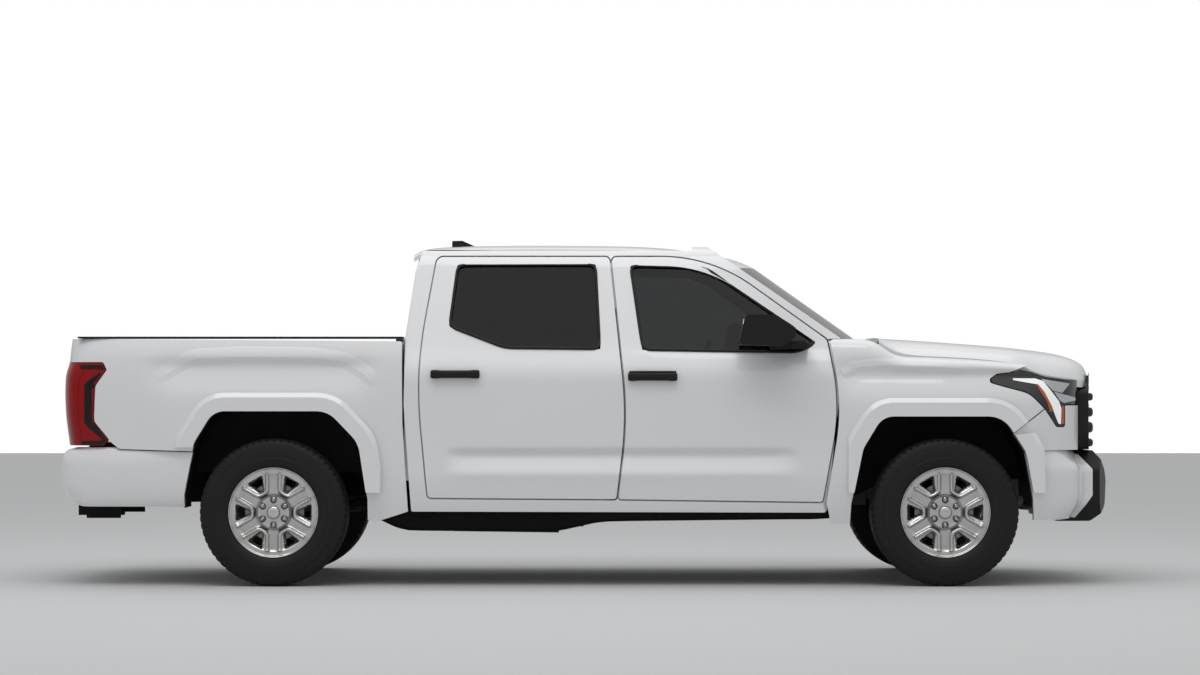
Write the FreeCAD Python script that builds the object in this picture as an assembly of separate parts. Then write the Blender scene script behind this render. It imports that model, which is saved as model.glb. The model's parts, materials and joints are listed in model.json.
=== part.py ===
"""Crew cab pickup truck: a ladder frame carries cab, front clip and bed; all panels are separate pieces."""

import FreeCAD
import Part

import math
import os

V = FreeCAD.Vector

# Overall sizes, millimetres
overall_length = 5933.0
body_width = 2037.0
body_height = 1915.0
wheelbase = 3700.0
front_overhang = 970.0
track = 1730.0

# Shared gaps and thicknesses
overrun = 40.0
door_gap = 8.0
panel_gap = 6.0
seat_gap = 0.3
skin = 25.0
sheet = 12.0
door_depth = 72.0
door_lap = 30.0

# Wheels
tyre_radius = 407.0
tyre_width = 245.0
bead_radius = 228.0
rim_lip_radius = 246.5
rim_width = 200.0
disc_radius = 168.0
disc_thickness = 28.0
hub_radius = 72.0
lug_circle_radius = 69.85
lug_radius = 10.5
lug_height = 22.0
lug_count = 6
kingpin_inset = 70.0

# Places that follow the overall sizes
half_width = body_width / 2
front_axle_x = overall_length / 2 - front_overhang
rear_axle_x = front_axle_x - wheelbase
wheel_y = track / 2
hub_z = tyre_radius


def along(share):
    """Place along the truck: a share of the wheelbase, from the rear axle."""
    return rear_axle_x + wheelbase * share


def up(share):
    """Height: a share of the body height."""
    return body_height * share


def out(share):
    """Half width: a share of the body's half width."""
    return half_width * share


def side_points(shares):
    """Corners in side view as (x, z, corner radius), from shares of wheelbase and body height."""
    return [(along(x), up(z), up(radius)) for x, z, radius in shares]


def grown(corners, distance):
    """Outline moved outward by a distance, or inward where the distance is negative."""
    count = len(corners)
    area = sum(corners[i][0] * corners[(i + 1) % count][1] - corners[(i + 1) % count][0] * corners[i][1]
               for i in range(count))
    turn = 1 if area > 0 else -1
    lines = []
    for i in range(count):
        ax, ay = corners[i][:2]
        bx, by = corners[(i + 1) % count][:2]
        length = math.hypot(bx - ax, by - ay)
        nx, ny = (by - ay) / length * turn, (ax - bx) / length * turn
        lines.append((nx, ny, nx * ax + ny * ay + distance))
    moved = []
    for i in range(count):
        a1, b1, c1 = lines[i - 1]
        a2, b2, c2 = lines[i]
        cross = a1 * b2 - a2 * b1
        x = (c1 * b2 - c2 * b1) / cross
        y = (a1 * c2 - a2 * c1) / cross
        radius = corners[i][2]
        moved.append((x, y, max(radius + distance * (1 if cross * turn > 0 else -1), 0) if radius else 0))
    return moved


def rounded_wire(corners, place):
    """Closed wire through (a, b, radius) corners, each rounded by its radius; place makes the 3D point."""
    count = len(corners)
    cuts = []
    for i, (a, b, radius) in enumerate(corners):
        corner = V(a, b, 0)
        back = V(corners[i - 1][0], corners[i - 1][1], 0) - corner
        ahead = V(corners[(i + 1) % count][0], corners[(i + 1) % count][1], 0) - corner
        reach = min(back.Length, ahead.Length) / 2
        back.normalize()
        ahead.normalize()
        half = back.getAngle(ahead) / 2
        if radius > 0 and half < math.pi / 2:
            setback = min(radius / math.tan(half), reach)
            radius = setback * math.tan(half)
            inward = (back + ahead).normalize()
            centre = corner + inward * (radius / math.sin(half))
            cuts.append((corner + back * setback, centre - inward * radius, corner + ahead * setback))
        else:
            cuts.append((corner, None, corner))
    edges = []
    for i, (start, middle, end) in enumerate(cuts):
        if middle is not None:
            arc = Part.Arc(place(start.x, start.y), place(middle.x, middle.y), place(end.x, end.y))
            edges.append(arc.toShape())
        following = cuts[(i + 1) % count][0]
        if (following - end).Length > 1e-6 * body_height:
            edges.append(Part.LineSegment(place(end.x, end.y), place(following.x, following.y)).toShape())
    return Part.Wire(edges)


def side_prism(corners, y_from, y_to):
    """Solid with an outline in side view, from one y to another."""
    wire = rounded_wire(corners, lambda x, z: V(x, y_from, z))
    return Part.Face(wire).extrude(V(0, y_to - y_from, 0))


def front_prism(corners, x_from, x_to):
    """Solid with an outline in front view, from one x to another."""
    wire = rounded_wire(corners, lambda y, z: V(x_from, y, z))
    return Part.Face(wire).extrude(V(x_to - x_from, 0, 0))


def plan_prism(corners, z_from, z_to):
    """Solid with an outline in plan, from one height to another."""
    wire = rounded_wire(corners, lambda x, y: V(x, y, z_from))
    return Part.Face(wire).extrude(V(0, 0, z_to - z_from))


def block(x_from, x_to, y_from, y_to, z_from, z_to):
    """Plain box between two corners."""
    low = V(min(x_from, x_to), min(y_from, y_to), min(z_from, z_to))
    return Part.makeBox(abs(x_to - x_from), abs(y_to - y_from), abs(z_to - z_from), low)


def rod(start, end, radius):
    """Round bar between two points."""
    return Part.makeCylinder(radius, (end - start).Length, start, end - start)


def mirrored(shape):
    """The same piece on the other side of the truck."""
    return shape.mirror(V(0, 0, 0), V(0, 1, 0))


def both_sides(shape):
    """A piece with its mirror image."""
    return Part.makeCompound([shape, mirrored(shape)])


def fused(shapes):
    """One solid from shapes that meet."""
    whole = shapes[0]
    if len(shapes) > 1:
        whole = whole.fuse(shapes[1:])
    return whole.removeSplitter()


def turned(profile, centre, axis):
    """Solid of revolution about an axis in Y through centre; profile is (radius, y) corners."""
    points = [V(centre.x + radius, y, centre.z) for radius, y in profile]
    face = Part.Face(Part.makePolygon(points + points[:1]))
    return face.revolve(V(centre.x, 0, centre.z), axis, 360)


def spread(count, degree):
    """Knots and multiplicities of a clamped curve with even spans."""
    spans = count - degree
    return list(range(spans + 1)), [degree + 1] + [1] * (spans - 1) + [degree + 1]


def smooth_face(rows):
    """Smooth face that follows a net of points, given as rows of equal length."""
    knots_u, mults_u = spread(len(rows), 3)
    knots_v, mults_v = spread(len(rows[0]), 3)
    surface = Part.BSplineSurface()
    surface.buildFromPolesMultsKnots(rows, mults_u, mults_v, knots_u, knots_v, False, False, 3, 3)
    return surface.toShape()


def between(table, place):
    """Value at a place in a table of (place, value) pairs, straight between them."""
    if place <= table[0][0]:
        return table[0][1]
    for (left, low), (right, high) in zip(table, table[1:]):
        if place <= right:
            return low + (high - low) * (place - left) / (right - left)
    return table[-1][1]


def fade(place, start, end):
    """Smooth step from 0 at start to 1 at end."""
    share = min(max((place - start) / (end - start), 0), 1)
    return share * share * (3 - 2 * share)


# Side view outlines: (share of the wheelbase from the rear axle, share of body height, corner radius share)
front_door_shares = [(0.5123, 0.249, 0.010), (0.5273, 0.486, 2.037), (0.5023, 0.955, 0.016), (0.654, 0.955, 0.460),
                     (0.826, 0.711, 0.023), (0.843, 0.512, 1.097), (0.818, 0.241, 0.010)]
rear_door_shares = [(0.229, 0.253, 0.013), (0.511, 0.249, 0.010), (0.526, 0.486, 2.037), (0.501, 0.955, 0.016),
                    (0.240, 0.955, 0.023), (0.211, 0.616, 1.828)]
rear_window_shares = [(0.271, 0.931, 0.009), (0.260, 0.748, 0.009), (0.344, 0.685, 0.136), (0.487, 0.682, 0.005),
                      (0.480, 0.932, 0.008)]
front_window_shares = [(0.531, 0.929, 0.008), (0.549, 0.680, 0.005), (0.782, 0.672, 0.031), (0.810, 0.701, 0.006),
                       (0.645, 0.923, 0.397)]
cab_side_shares = [(0.205, 0.215, 0.005), (0.194, 0.522, 0), (0.196, 0.709, 0), (0.209, 0.909, 0),
                   (0.220, 0.984, 0.031), (0.649, 0.984, 0), (0.846, 0.714, 0.016), (0.850, 0.679, 0.010),
                   (0.824, 0.212, 0.010)]
bed_side_shares = [(-0.337, 0.713, 0), (0.191, 0.705, 0.006), (0.192, 0.470, 0), (0.200, 0.215, 0.004),
                   (0.157, 0.188, 0), (0.136, 0.192, 0), (-0.121, 0.389, 0), (-0.229, 0.395, 0.016),
                   (-0.246, 0.421, 0.010), (-0.253, 0.405, 0), (-0.337, 0.405, 0)]
rear_arch_shares = [(-0.133, 0.160, 0), (-0.133, 0.263, 0), (-0.117, 0.413, 0.063), (-0.088, 0.504, 0.057),
                    (0.082, 0.504, 0.078), (0.127, 0.413, 0.084), (0.140, 0.251, 0), (0.140, 0.160, 0)]
front_arch_shares = [(0.858, 0.160, 0), (0.860, 0.238, 0), (0.877, 0.397, 0.063), (0.906, 0.489, 0.057),
                     (1.085, 0.489, 0.078), (1.119, 0.386, 0.084), (1.131, 0.255, 0), (1.134, 0.160, 0)]
fender_shares = [(0.8305, 0.180, 0.005), (0.8232, 0.241, 0), (0.846, 0.512, 1.097), (0.829, 0.711, 0.010),
                 (0.893, 0.713, 0), (0.893, 0.740, 0), (1.210, 0.740, 0), (1.210, 0.461, 0), (1.1015, 0.4397, 0),
                 (1.090, 0.180, 0)]
bumper_corner_shares = [(1.088, 0.4202, 0), (1.160, 0.5245, 0), (1.165, 0.560, 0), (1.250, 0.560, 0),
                        (1.250, 0.3915, 0), (1.088, 0.3915, 0)]
headlamp_shares = [(1.064, 0.590, 0.008), (1.078, 0.609, 0.016), (1.097, 0.613, 0), (1.113, 0.6235, 0.005),
                   (1.130, 0.6165, 0), (1.150, 0.6035, 0), (1.180, 0.5955, 0), (1.250, 0.590, 0), (1.250, 0.524, 0), (1.1804, 0.523, 0.004), (1.1804, 0.4605, 0.004),
                   (1.1685, 0.461, 0.005), (1.150, 0.512, 0.078),
                   (1.126, 0.557, 0.078), (1.087, 0.577, 0.031)]
headlamp_room_shares = [(1.064, 0.590, 0.008), (1.078, 0.609, 0.016), (1.097, 0.613, 0), (1.133, 0.640, 0)] \
    + [(1.250, 0.680, 0)] + headlamp_shares[8:]
tail_lamp_shares = [(-0.330, 0.642, 0), (-0.255, 0.642, 0.004), (-0.250, 0.623, 0.004), (-0.267, 0.577, 0.031),
                    (-0.269, 0.474, 0.031), (-0.246, 0.421, 0.005), (-0.253, 0.405, 0.003), (-0.330, 0.405, 0)]

# Cab section: (share of body height, half width share, the same where the door is sculptured)
cab_section_shares = [
    (0.198, 0.921, 0.921), (0.209, 0.931, 0.931), (0.245, 0.9465, 0.9465), (0.292, 0.960, 0.960),
    (0.316, 0.964, 0.971), (0.325, 0.964, 0.972), (0.334, 0.964, 0.966), (0.350, 0.9637, 0.952),
    (0.3655, 0.963, 0.938), (0.373, 0.963, 0.933), (0.380, 0.963, 0.933), (0.389, 0.963, 0.9425),
    (0.397, 0.963, 0.955), (0.407, 0.963, 0.958), (0.470, 0.964, 0.963), (0.548, 0.968, 0.968),
    (0.590, 0.970, 0.970), (0.608, 0.968, 0.968), (0.627, 0.960, 0.960), (0.6475, 0.9445, 0.9445),
    (0.674, 0.921, 0.921), (0.6945, 0.904, 0.904), (0.757, 0.858, 0.858), (0.8355, 0.801, 0.801),
    (0.914, 0.743, 0.743), (0.945, 0.719, 0.719), (0.9635, 0.699, 0.699), (0.9745, 0.6755, 0.6755),
    (0.981, 0.643, 0.643), (0.984, 0.599, 0.599)]
cab_station_shares = [0.190, 0.215, 0.240, 0.252, 0.265, 0.280, 0.330, 0.420, 0.510, 0.600, 0.690, 0.745, 0.765,
                      0.785, 0.800, 0.825, 0.858]

# Fender section: (share of body height, half width share, the same over the wheel)
fender_section_shares = [
    (0.160, 0.900, 0.900), (0.209, 0.928, 0.928), (0.251, 0.9445, 0.948), (0.313, 0.960, 0.972),
    (0.392, 0.963, 0.982), (0.470, 0.964, 0.985), (0.522, 0.966, 0.984), (0.543, 0.967, 0.980),
    (0.569, 0.968, 0.966), (0.590, 0.970, 0.9485), (0.6005, 0.969, 0.9385), (0.608, 0.968, 0.936),
    (0.616, 0.966, 0.9385), (0.627, 0.960, 0.9495), (0.6345, 0.955, 0.954), (0.642, 0.9485, 0.950),
    (0.650, 0.940, 0.941), (0.6555, 0.928, 0.928), (0.659, 0.913, 0.913), (0.661, 0.900, 0.900),
    (0.662, 0.889, 0.889)]
# Front corner in plan: (share of the wheelbase, share of half width that the corner falls back)
nose_plan_shares = [
    (0.815, 0), (0.839, 0), (0.860, 0), (0.882, 0), (0.904, 0), (0.925, 0), (0.960, 0), (1.000, 0),
    (1.0415, 0.004), (1.0685, 0.008), (1.0955, 0.015), (1.1145, 0.022), (1.1305, 0.031), (1.147, 0.045),
    (1.163, 0.066), (1.178, 0.098), (1.1915, 0.145), (1.202, 0.205), (1.210, 0.275), (1.217, 0.345),
    (1.2225, 0.430)]

# Bed section: (share of body height, half width share, the same over the wheel)
bed_section_shares = [
    (0.160, 0.900, 0.900), (0.215, 0.925, 0.925), (0.261, 0.940, 0.944), (0.313, 0.950, 0.970),
    (0.392, 0.958, 0.982), (0.470, 0.963, 0.984), (0.522, 0.966, 0.984), (0.555, 0.967, 0.980),
    (0.580, 0.967, 0.966), (0.606, 0.966, 0.950), (0.624, 0.964, 0.9405), (0.632, 0.963, 0.9385),
    (0.640, 0.962, 0.9405), (0.650, 0.960, 0.9495), (0.659, 0.958, 0.955), (0.668, 0.955, 0.955),
    (0.689, 0.9455, 0.9455), (0.705, 0.935, 0.935), (0.720, 0.924, 0.924)]
# Rear corner in plan, from the cab backward
bed_plan_shares = [
    (0.205, 0), (0.174, 0), (0.155, 0), (0.136, 0), (0.1145, 0), (0.082, 0), (0.039, 0), (-0.0045, 0),
    (-0.048, 0), (-0.091, 0), (-0.1235, 0), (-0.148, 0.001), (-0.172, 0.003), (-0.1965, 0.006), (-0.226, 0.011),
    (-0.253, 0.018), (-0.275, 0.026), (-0.287, 0.040), (-0.295, 0.062), (-0.3005, 0.092), (-0.305, 0.130),
    (-0.3085, 0.175), (-0.3105, 0.220)]
# Rear corner lean: (share of body height, share of wheelbase that it stands further back)
rear_bow_shares = [(0.400, 0.0), (0.470, 0.007), (0.550, 0.009), (0.610, 0.008), (0.645, 0.002), (0.713, 0.0)]

# Sculpture starts and ends, shares of the wheelbase
sculpture_shares = (0.255, 0.275, 0.755, 0.785)
front_swell_shares = (0.825, 0.865, 1.130, 1.165)
rear_swell_shares = (-0.190, -0.155, 0.120, 0.150)
side_bow = 8.0
cowl_rise = 97.0
nose_drop = 46.0


def swell(x, shares):
    """1 between the middle two places, fading to 0 at the outer two."""
    start, full, finish, end = [along(share) for share in shares]
    return fade(x, start, full) * (1 - fade(x, finish, end))


def cab_face():
    """Right side of the cab from sill to roof, one smooth sheet."""
    rows = []
    for z_share, plain, sculptured in cab_section_shares:
        row = []
        for x_share in cab_station_shares:
            x = along(x_share)
            weight = swell(x, sculpture_shares)
            bow = side_bow * (2 * x / wheelbase) ** 2
            row.append(V(x, bow - out(plain + (sculptured - plain) * weight), up(z_share)))
        rows.append(row)
    return smooth_face(rows)


def nose_face():
    """Right side of the front, from the door round the corner to the grille."""
    rows = []
    top_start, top_end = fender_section_shares[11][0], fender_section_shares[-1][0]
    for z_share, plain, over_wheel in fender_section_shares:
        row = []
        for x_share, inset in nose_plan_shares:
            x = along(x_share)
            weight = swell(x, front_swell_shares)
            high = min(max((z_share - top_start) / (top_end - top_start), 0), 1)
            lift = cowl_rise * (1 - fade(x, along(0.893), along(0.925))) * high
            sink = nose_drop * max((x_share - 0.9) / 0.23, 0) ** 2 * high
            y = out(plain + (over_wheel - plain) * weight - inset)
            row.append(V(x, -y, up(z_share) + lift - sink))
        rows.append(row)
    return smooth_face(rows)


def bed_face():
    """Right side of the bed, from the cab round the rear corner to the tailgate."""
    rows = []
    for z_share, plain, over_wheel in bed_section_shares:
        row = []
        for x_share, inset in bed_plan_shares:
            x = along(x_share)
            weight = swell(x, rear_swell_shares)
            lean = wheelbase * between(rear_bow_shares, z_share) * fade(inset, 0, 0.06)
            y = out(plain + (over_wheel - plain) * weight - inset)
            row.append(V(x - lean, -y, up(z_share)))
        rows.append(row)
    return smooth_face(rows)


def sheet_of(face, depth, start=0, direction=V(0, 1, 0)):
    """Solid that follows a face, from a start depth behind it to a full depth."""
    moved = face.copy()
    moved.translate(direction * start)
    return moved.extrude(direction * (depth - start))


def trimmed(solid, corners):
    """The part of a right side solid inside a side view outline."""
    return solid.common(side_prism(corners, -half_width - overrun, -out(0.2)))


# Doors
door_box_inset = 50.0
door_lead_inset = 82.0
box_gap = 18.0
hinge_setback = 60.0
hinge_depth = 9.0
hinge_pin_radius = 2.5
hinge_barrel_radius = 5.0
hinge_height = 44.0
hinge_room = 50.0
hinge_end_gap = 6.0
hinge_shares = (0.475, 0.565)
hinge_cover = 2.0
glass_thickness = 5.0
glass_depth = 18.0
handle_length = 262.0
handle_height = 30.0
handle_stand = 34.0
handle_z_share = 0.612
front_handle_share = 0.529
rear_handle_share = 0.236
pillar_depth = 90.0

front_door = side_points(front_door_shares)
rear_door = side_points(rear_door_shares)
front_window = side_points(front_window_shares)
rear_window = side_points(rear_window_shares)


def leading_edge(corners):
    """Foremost place of a door's leading edge below its window."""
    return max(x for x, z, radius in corners)


def hinge_x(corners):
    """Place of a door's hinge axis."""
    return leading_edge(corners) - hinge_setback


def hinge_y(corners):
    """Distance of a door's hinge axis from the middle."""
    plain = between([row[:2] for row in cab_section_shares], hinge_shares[0])
    return out(plain) - side_bow * (2 * hinge_x(corners) / wheelbase) ** 2 - hinge_depth


def hinge_places(corners):
    """Lower end of each hinge pocket on a right door's axis."""
    return [V(hinge_x(corners), -hinge_y(corners), up(share)) for share in hinge_shares]


def hinge_leaves(corners):
    """Hinge barrels of a right door, on arms that reach out of the pillar."""
    leaves = []
    for place in hinge_places(corners):
        base = place + V(0, 0, hinge_end_gap)
        barrel = Part.makeCylinder(hinge_barrel_radius, hinge_height, base)
        arm = block(place.x - hinge_barrel_radius / 2, place.x + hinge_barrel_radius / 2, place.y,
                    place.y + pillar_depth * 0.75, base.z, base.z + hinge_height)
        bore = Part.makeCylinder(hinge_pin_radius + seat_gap, hinge_height * 2, base - V(0, 0, hinge_height / 2))
        leaves.append(barrel.fuse(arm).cut(bore))
    return leaves


def hinge_pockets(corners, face):
    """Room in a right door's skin for its hinge barrels to turn, with the pins that stay in it."""
    room = []
    pins = []
    height = hinge_height + 2 * hinge_end_gap
    for place in hinge_places(corners):
        room.append(Part.makeCylinder(hinge_room, height, place))
        pins.append(Part.makeCylinder(hinge_pin_radius, height + 2 * hinge_end_gap, place - V(0, 0, hinge_end_gap)))
    pocket = room[0].fuse(room[1:]).common(sheet_of(face, door_depth, hinge_cover))
    return pocket, pins


def handle(face_y, x_start):
    """Pull handle with two feet, on the outer side of a door."""
    z = up(handle_z_share)
    grip = block(x_start, x_start + handle_length, -face_y - handle_stand, -face_y - handle_stand * 0.45,
                 z - handle_height / 2, z + handle_height / 2)
    grip = grip.makeFillet(handle_height * 0.22, grip.Edges)
    feet = []
    for x in (x_start, x_start + handle_length * 0.86):
        feet.append(block(x + handle_length * 0.02, x + handle_length * 0.12, -face_y - handle_stand * 0.7,
                          -face_y + skin * 0.6, z - handle_height * 0.32, z + handle_height * 0.32))
    return [grip] + feet


def door(corners, window, handle_share, face, lead):
    """Right door: outer skin, inner box, window opening and handle."""
    outline = grown(corners, -door_gap / 2)
    shell = trimmed(sheet_of(face, door_lap - panel_gap), outline)
    box_outline = grown(corners, -door_box_inset)
    box = trimmed(sheet_of(face, door_depth, skin / 2), box_outline)
    edge = leading_edge(corners) - lead
    box = box.common(block(-overall_length, edge, -body_width, 0, 0, body_height))
    panel = shell.fuse(box)
    panel = panel.cut(side_prism(window, -body_width, 0))
    pocket, pins = hinge_pockets(corners, face)
    panel = panel.cut(pocket).fuse(pins)
    return fused([panel] + handle(out(0.962), along(handle_share)))


def door_glass(window, face):
    """Glass of a door, let into its frame."""
    return trimmed(sheet_of(face, glass_depth + glass_thickness, glass_depth), grown(window, -seat_gap))


# Cab
roof_edge = 690.0
roof_thickness = 24.0
roof_line_shares = [(0.205, 0.976), (0.213, 0.985), (0.222, 0.991), (0.256, 0.9965), (0.300, 0.999), (0.392, 1.0),
                    (0.480, 0.999), (0.546, 0.997), (0.590, 0.9915), (0.623, 0.9845), (0.656, 0.9745),
                    (0.692, 0.961), (0.710, 0.950), (0.730, 0.930)]
roof_section_shares = [(0, 0), (0.30, 0.07), (0.58, 0.26), (0.80, 0.48), (0.93, 0.67), (0.98, 0.83), (1.0, 1.0)]
roof_camber = 46.0
roof_front_curve = 140.0
windscreen_thickness = 7.0
windscreen_low_share = (0.8495, 0.711)
windscreen_high_share = (0.695, 0.923)
windscreen_bow = 122.0
cab_back_thickness = 40.0
cab_floor_share = 0.318
cab_floor_thickness = 30.0
firewall_share = 0.838


def roof_face():
    """Roof from edge to edge, crowned both ways and bowed forward at the windscreen."""
    rows = []
    for y_share, fall_share in [(-y, fall) for y, fall in reversed(roof_section_shares)] + roof_section_shares[1:]:
        row = []
        for x_share, z_share in roof_line_shares:
            x = along(x_share)
            bow = roof_front_curve * y_share ** 2 * fade(x_share, 0.52, 0.73)
            row.append(V(x - bow, roof_edge * y_share, up(z_share) - roof_camber * fall_share))
        rows.append(row)
    return smooth_face(rows)


def cab_section(inset):
    """Cab outline in front view, a distance inside its outer surface, right side then left."""
    right = [(inset - out(plain), up(z)) for z, plain, sculptured in cab_section_shares[3::3]]
    points = right + [(-y, z) for y, z in reversed(right)]
    return [(y, z, 0) for y, z in points]


def below_roof(shape, roof):
    """A piece cut off under the roof panel."""
    space = roof.copy()
    space.translate(V(0, 0, overrun))
    return shape.cut(space.extrude(V(0, 0, -overrun - roof_thickness)))


def cab_side(face, roof, nose):
    """Right side of the cab: pillars, sill and roof rail round the two door openings."""
    side = trimmed(sheet_of(face, pillar_depth), side_points(cab_side_shares))
    lap = sheet_of(face, door_lap, -overrun)
    for corners in (front_door, rear_door):
        side = side.cut(trimmed(lap, grown(corners, door_gap / 2)))
        opening = trimmed(sheet_of(face, pillar_depth + overrun, -overrun), grown(corners, box_gap - door_box_inset))
        front = leading_edge(corners)
        side = side.cut(opening.common(block(-overall_length, front - door_lead_inset + box_gap / 2, -body_width, 0,
                                             0, body_height)))
        pocket = block(hinge_x(corners) - door_lead_inset / 2, front + door_gap, -body_width, 0,
                       up(0.24), up(0.80)).common(sheet_of(face, door_depth, -overrun))
        side = side.cut(pocket.common(side_prism(grown(corners, door_gap / 2), -body_width, 0)))
        side = side.fuse(hinge_leaves(corners))
    fender_room = trimmed(sheet_of(nose, skin + panel_gap, -overrun), grown(side_points(fender_shares), 3 * panel_gap))
    side = side.cut(fender_room)
    return below_roof(side, roof)


def windscreen(side, roof):
    """Bowed windscreen between cowl and roof."""
    edges = []
    for (x_share, z_share), half in ((windscreen_low_share, out(0.785)), (windscreen_high_share, out(0.640))):
        right = V(along(x_share), -half, up(z_share))
        middle = V(along(x_share) + windscreen_bow, 0, up(z_share) + windscreen_bow * 0.11)
        left = V(along(x_share), half, up(z_share))
        edges.append(Part.Arc(right, middle, left).toShape())
    face = Part.makeRuledSurface(edges[0], edges[1])
    pane = face.extrude(V(-windscreen_thickness, 0, -windscreen_thickness))
    return below_roof(pane, roof).cut(side).cut(mirrored(side))


back_profile_shares = [(0.194, 0.304), (0.194, 0.709), (0.2075, 0.909), (0.217, 0.985)]
rear_glass_corners_shares = [(0.470, 0.745, 0.03), (0.430, 0.910, 0.03)]


def cab_back(side, roof):
    """Rear wall of the cab with its window opening."""
    outer = [(along(x), up(z), 0) for x, z in back_profile_shares]
    inner = [(x + cab_back_thickness, z, 0) for x, z, radius in reversed(outer)]
    wall = side_prism(outer + inner, -half_width, half_width)
    wall = wall.common(front_prism(cab_section(pillar_depth / 2), along(0.15), along(0.25)))
    wall = wall.cut(front_prism(rear_glass_corners(0), along(0.15), along(0.25)))
    return below_roof(wall, roof).cut(side).cut(mirrored(side))


def rear_glass_corners(inset):
    """Outline of the rear window in rear view."""
    (low_y, low_z, radius), (high_y, high_z, same) = rear_glass_corners_shares
    corners = [(-out(low_y), up(low_z)), (out(low_y), up(low_z)), (out(high_y), up(high_z)), (-out(high_y), up(high_z))]
    return grown([(y, z, up(radius)) for y, z in corners], -inset)


def rear_glass():
    """Rear window pane in the middle of the cab's rear wall."""
    offset = cab_back_thickness / 2
    outer = [(along(x) + offset, up(z), 0) for x, z in back_profile_shares]
    inner = [(x + glass_thickness, z, 0) for x, z, radius in reversed(outer)]
    pane = side_prism(outer + inner, -half_width, half_width)
    return pane.common(front_prism(rear_glass_corners(seat_gap), along(0.15), along(0.25)))

# Front clip
arch_wall_y = 495.0
wheel_box_y = 621.0
bed_half_width = 745.0
flare_stand = 16.0
flare_face = 76.0
flare_chamfer = 26.0
lamp_depth = 95.0
hood_thickness = 42.0
hood_gap = 9.0
hood_under_share = 0.568
hood_back_room = 80.0
hood_line_shares = [(0.903, 0.7195, 0.705, 0.880), (0.925, 0.718, 0.675, 0.880), (0.950, 0.7165, 0.664, 0.882),
                    (1.000, 0.7095, 0.661, 0.884), (1.050, 0.7025, 0.655, 0.880), (1.090, 0.6965, 0.647, 0.872),
                    (1.115, 0.6925, 0.639, 0.864), (1.130, 0.6895, 0.622, 0.850), (1.150, 0.6855, 0.609, 0.828),
                    (1.180, 0.6785, 0.601, 0.790), (1.203, 0.6675, 0.596, 0.735), (1.2175, 0.6560, 0.594, 0.660),
                    (1.2260, 0.6440, 0.597, 0.570), (1.2310, 0.6260, 0.600, 0.470)]
hood_section_shares = [(0, 1.0), (0.16, 1.0), (0.34, 0.975), (0.52, 0.94), (0.66, 0.89), (0.78, 0.82), (0.86, 0.71),
                       (0.92, 0.54), (0.965, 0.30), (1.0, 0.0)]
grille_outer_shares = [(0.560, 0.617, 0.02), (0.690, 0.560, 0.02), (0.715, 0.440, 0.02), (0.640, 0.3915, 0.02)]
grille_profile_shares = [(1.2050, 0.3915, 0), (1.2336, 0.3915, 0.005), (1.2390, 0.552, 0), (1.2398, 0.596, 0.01),
                         (1.2293, 0.617, 0), (1.2050, 0.617, 0)]
grille_border = 62.0
grille_corner_back = 70.0
slat_count = 6
slat_height = 22.0
valance_shares = [(0.590, 0.388, 0.01), (0.700, 0.335, 0.02), (0.700, 0.235, 0.02), (0.600, 0.181, 0.02)]
valance_profile_shares = [(1.180, 0.181, 0), (1.2290, 0.181, 0.015), (1.2575, 0.225, 0.03), (1.2620, 0.300, 0.03),
                          (1.2560, 0.333, 0.01), (1.2340, 0.388, 0), (1.180, 0.388, 0)]
front_bumper_plan_shares = [(1.095, 0.958, 0), (1.120, 0.950, 0), (1.147, 0.935, 0.1), (1.170, 0.910, 0.35),
                            (1.188, 0.872, 0.7), (1.200, 0.825, 0.95), (1.209, 0.765, 1), (1.216, 0.700, 1),
                            (1.222, 0.630, 1), (1.227, 0.560, 1)]
front_bumper_rows_shares = [(0.1900, 0.0230, 0.045), (0.2100, 0.0120, 0.030), (0.2360, 0.0020, 0.018),
                            (0.2600, -0.0005, 0.010), (0.2900, 0.0, 0.004), (0.3040, 0.0, 0),
                            (0.3300, 0.0, 0.000), (0.3420, 0.0022, 0.002), (0.3560, 0.0085, 0.010),
                            (0.3750, 0.0165, 0.018), (0.3880, 0.0195, 0.022), (0.3920, 0.0260, 0.03)]
rear_bumper_plan_shares = [(-0.119, 0.960, 0), (-0.150, 0.960, 0), (-0.200, 0.957, 0), (-0.240, 0.950, 0),
                           (-0.270, 0.940, 0.15), (-0.292, 0.922, 0.5), (-0.308, 0.890, 0.85), (-0.318, 0.840, 1),
                           (-0.3245, 0.770, 1), (-0.329, 0.660, 1), (-0.333, 0.500, 1), (-0.3385, 0.300, 1),
                           (-0.3412, 0.120, 1), (-0.3412, 0.0, 1)]
rear_bumper_rows_shares = [(0.2290, 0.0290, 0.050), (0.2380, 0.0150, 0.035), (0.2580, 0.0075, 0.022),
                           (0.2850, 0.0020, 0.012), (0.3000, 0.0005, 0.008), (0.3170, 0.0, 0.004),
                           (0.3450, 0.0, 0.0), (0.3600, 0.0005, 0.0), (0.3790, 0.0035, 0.006), (0.3930, 0.0110, 0.014),
                           (0.3985, 0.0180, 0.022), (0.4010, 0.0250, 0.030)]
bumper_wall = 60.0
liner_low_share = 0.225
rear_wall_low_share = 0.325
front_wall_low_share = 0.335
tail_lamp_depth = 80.0
bumper_top_share = 0.400
gate_step_share = 0.392


def arch_house(corners, outer_y, inner_y, wall_low):
    """Wheelhouse of a right wheel: a sheet round the arch with an inner end wall from a height up."""
    body = side_prism(grown(corners, sheet), -outer_y, -inner_y)
    room = side_prism(corners, -outer_y - overrun, -inner_y - sheet)
    below = block(-overall_length, overall_length, -body_width, 0, 0, up(liner_low_share))
    opening = block(-overall_length, overall_length, -inner_y - sheet, 0, 0, wall_low)
    return body.cut(room).cut(below).cut(opening)


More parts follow.
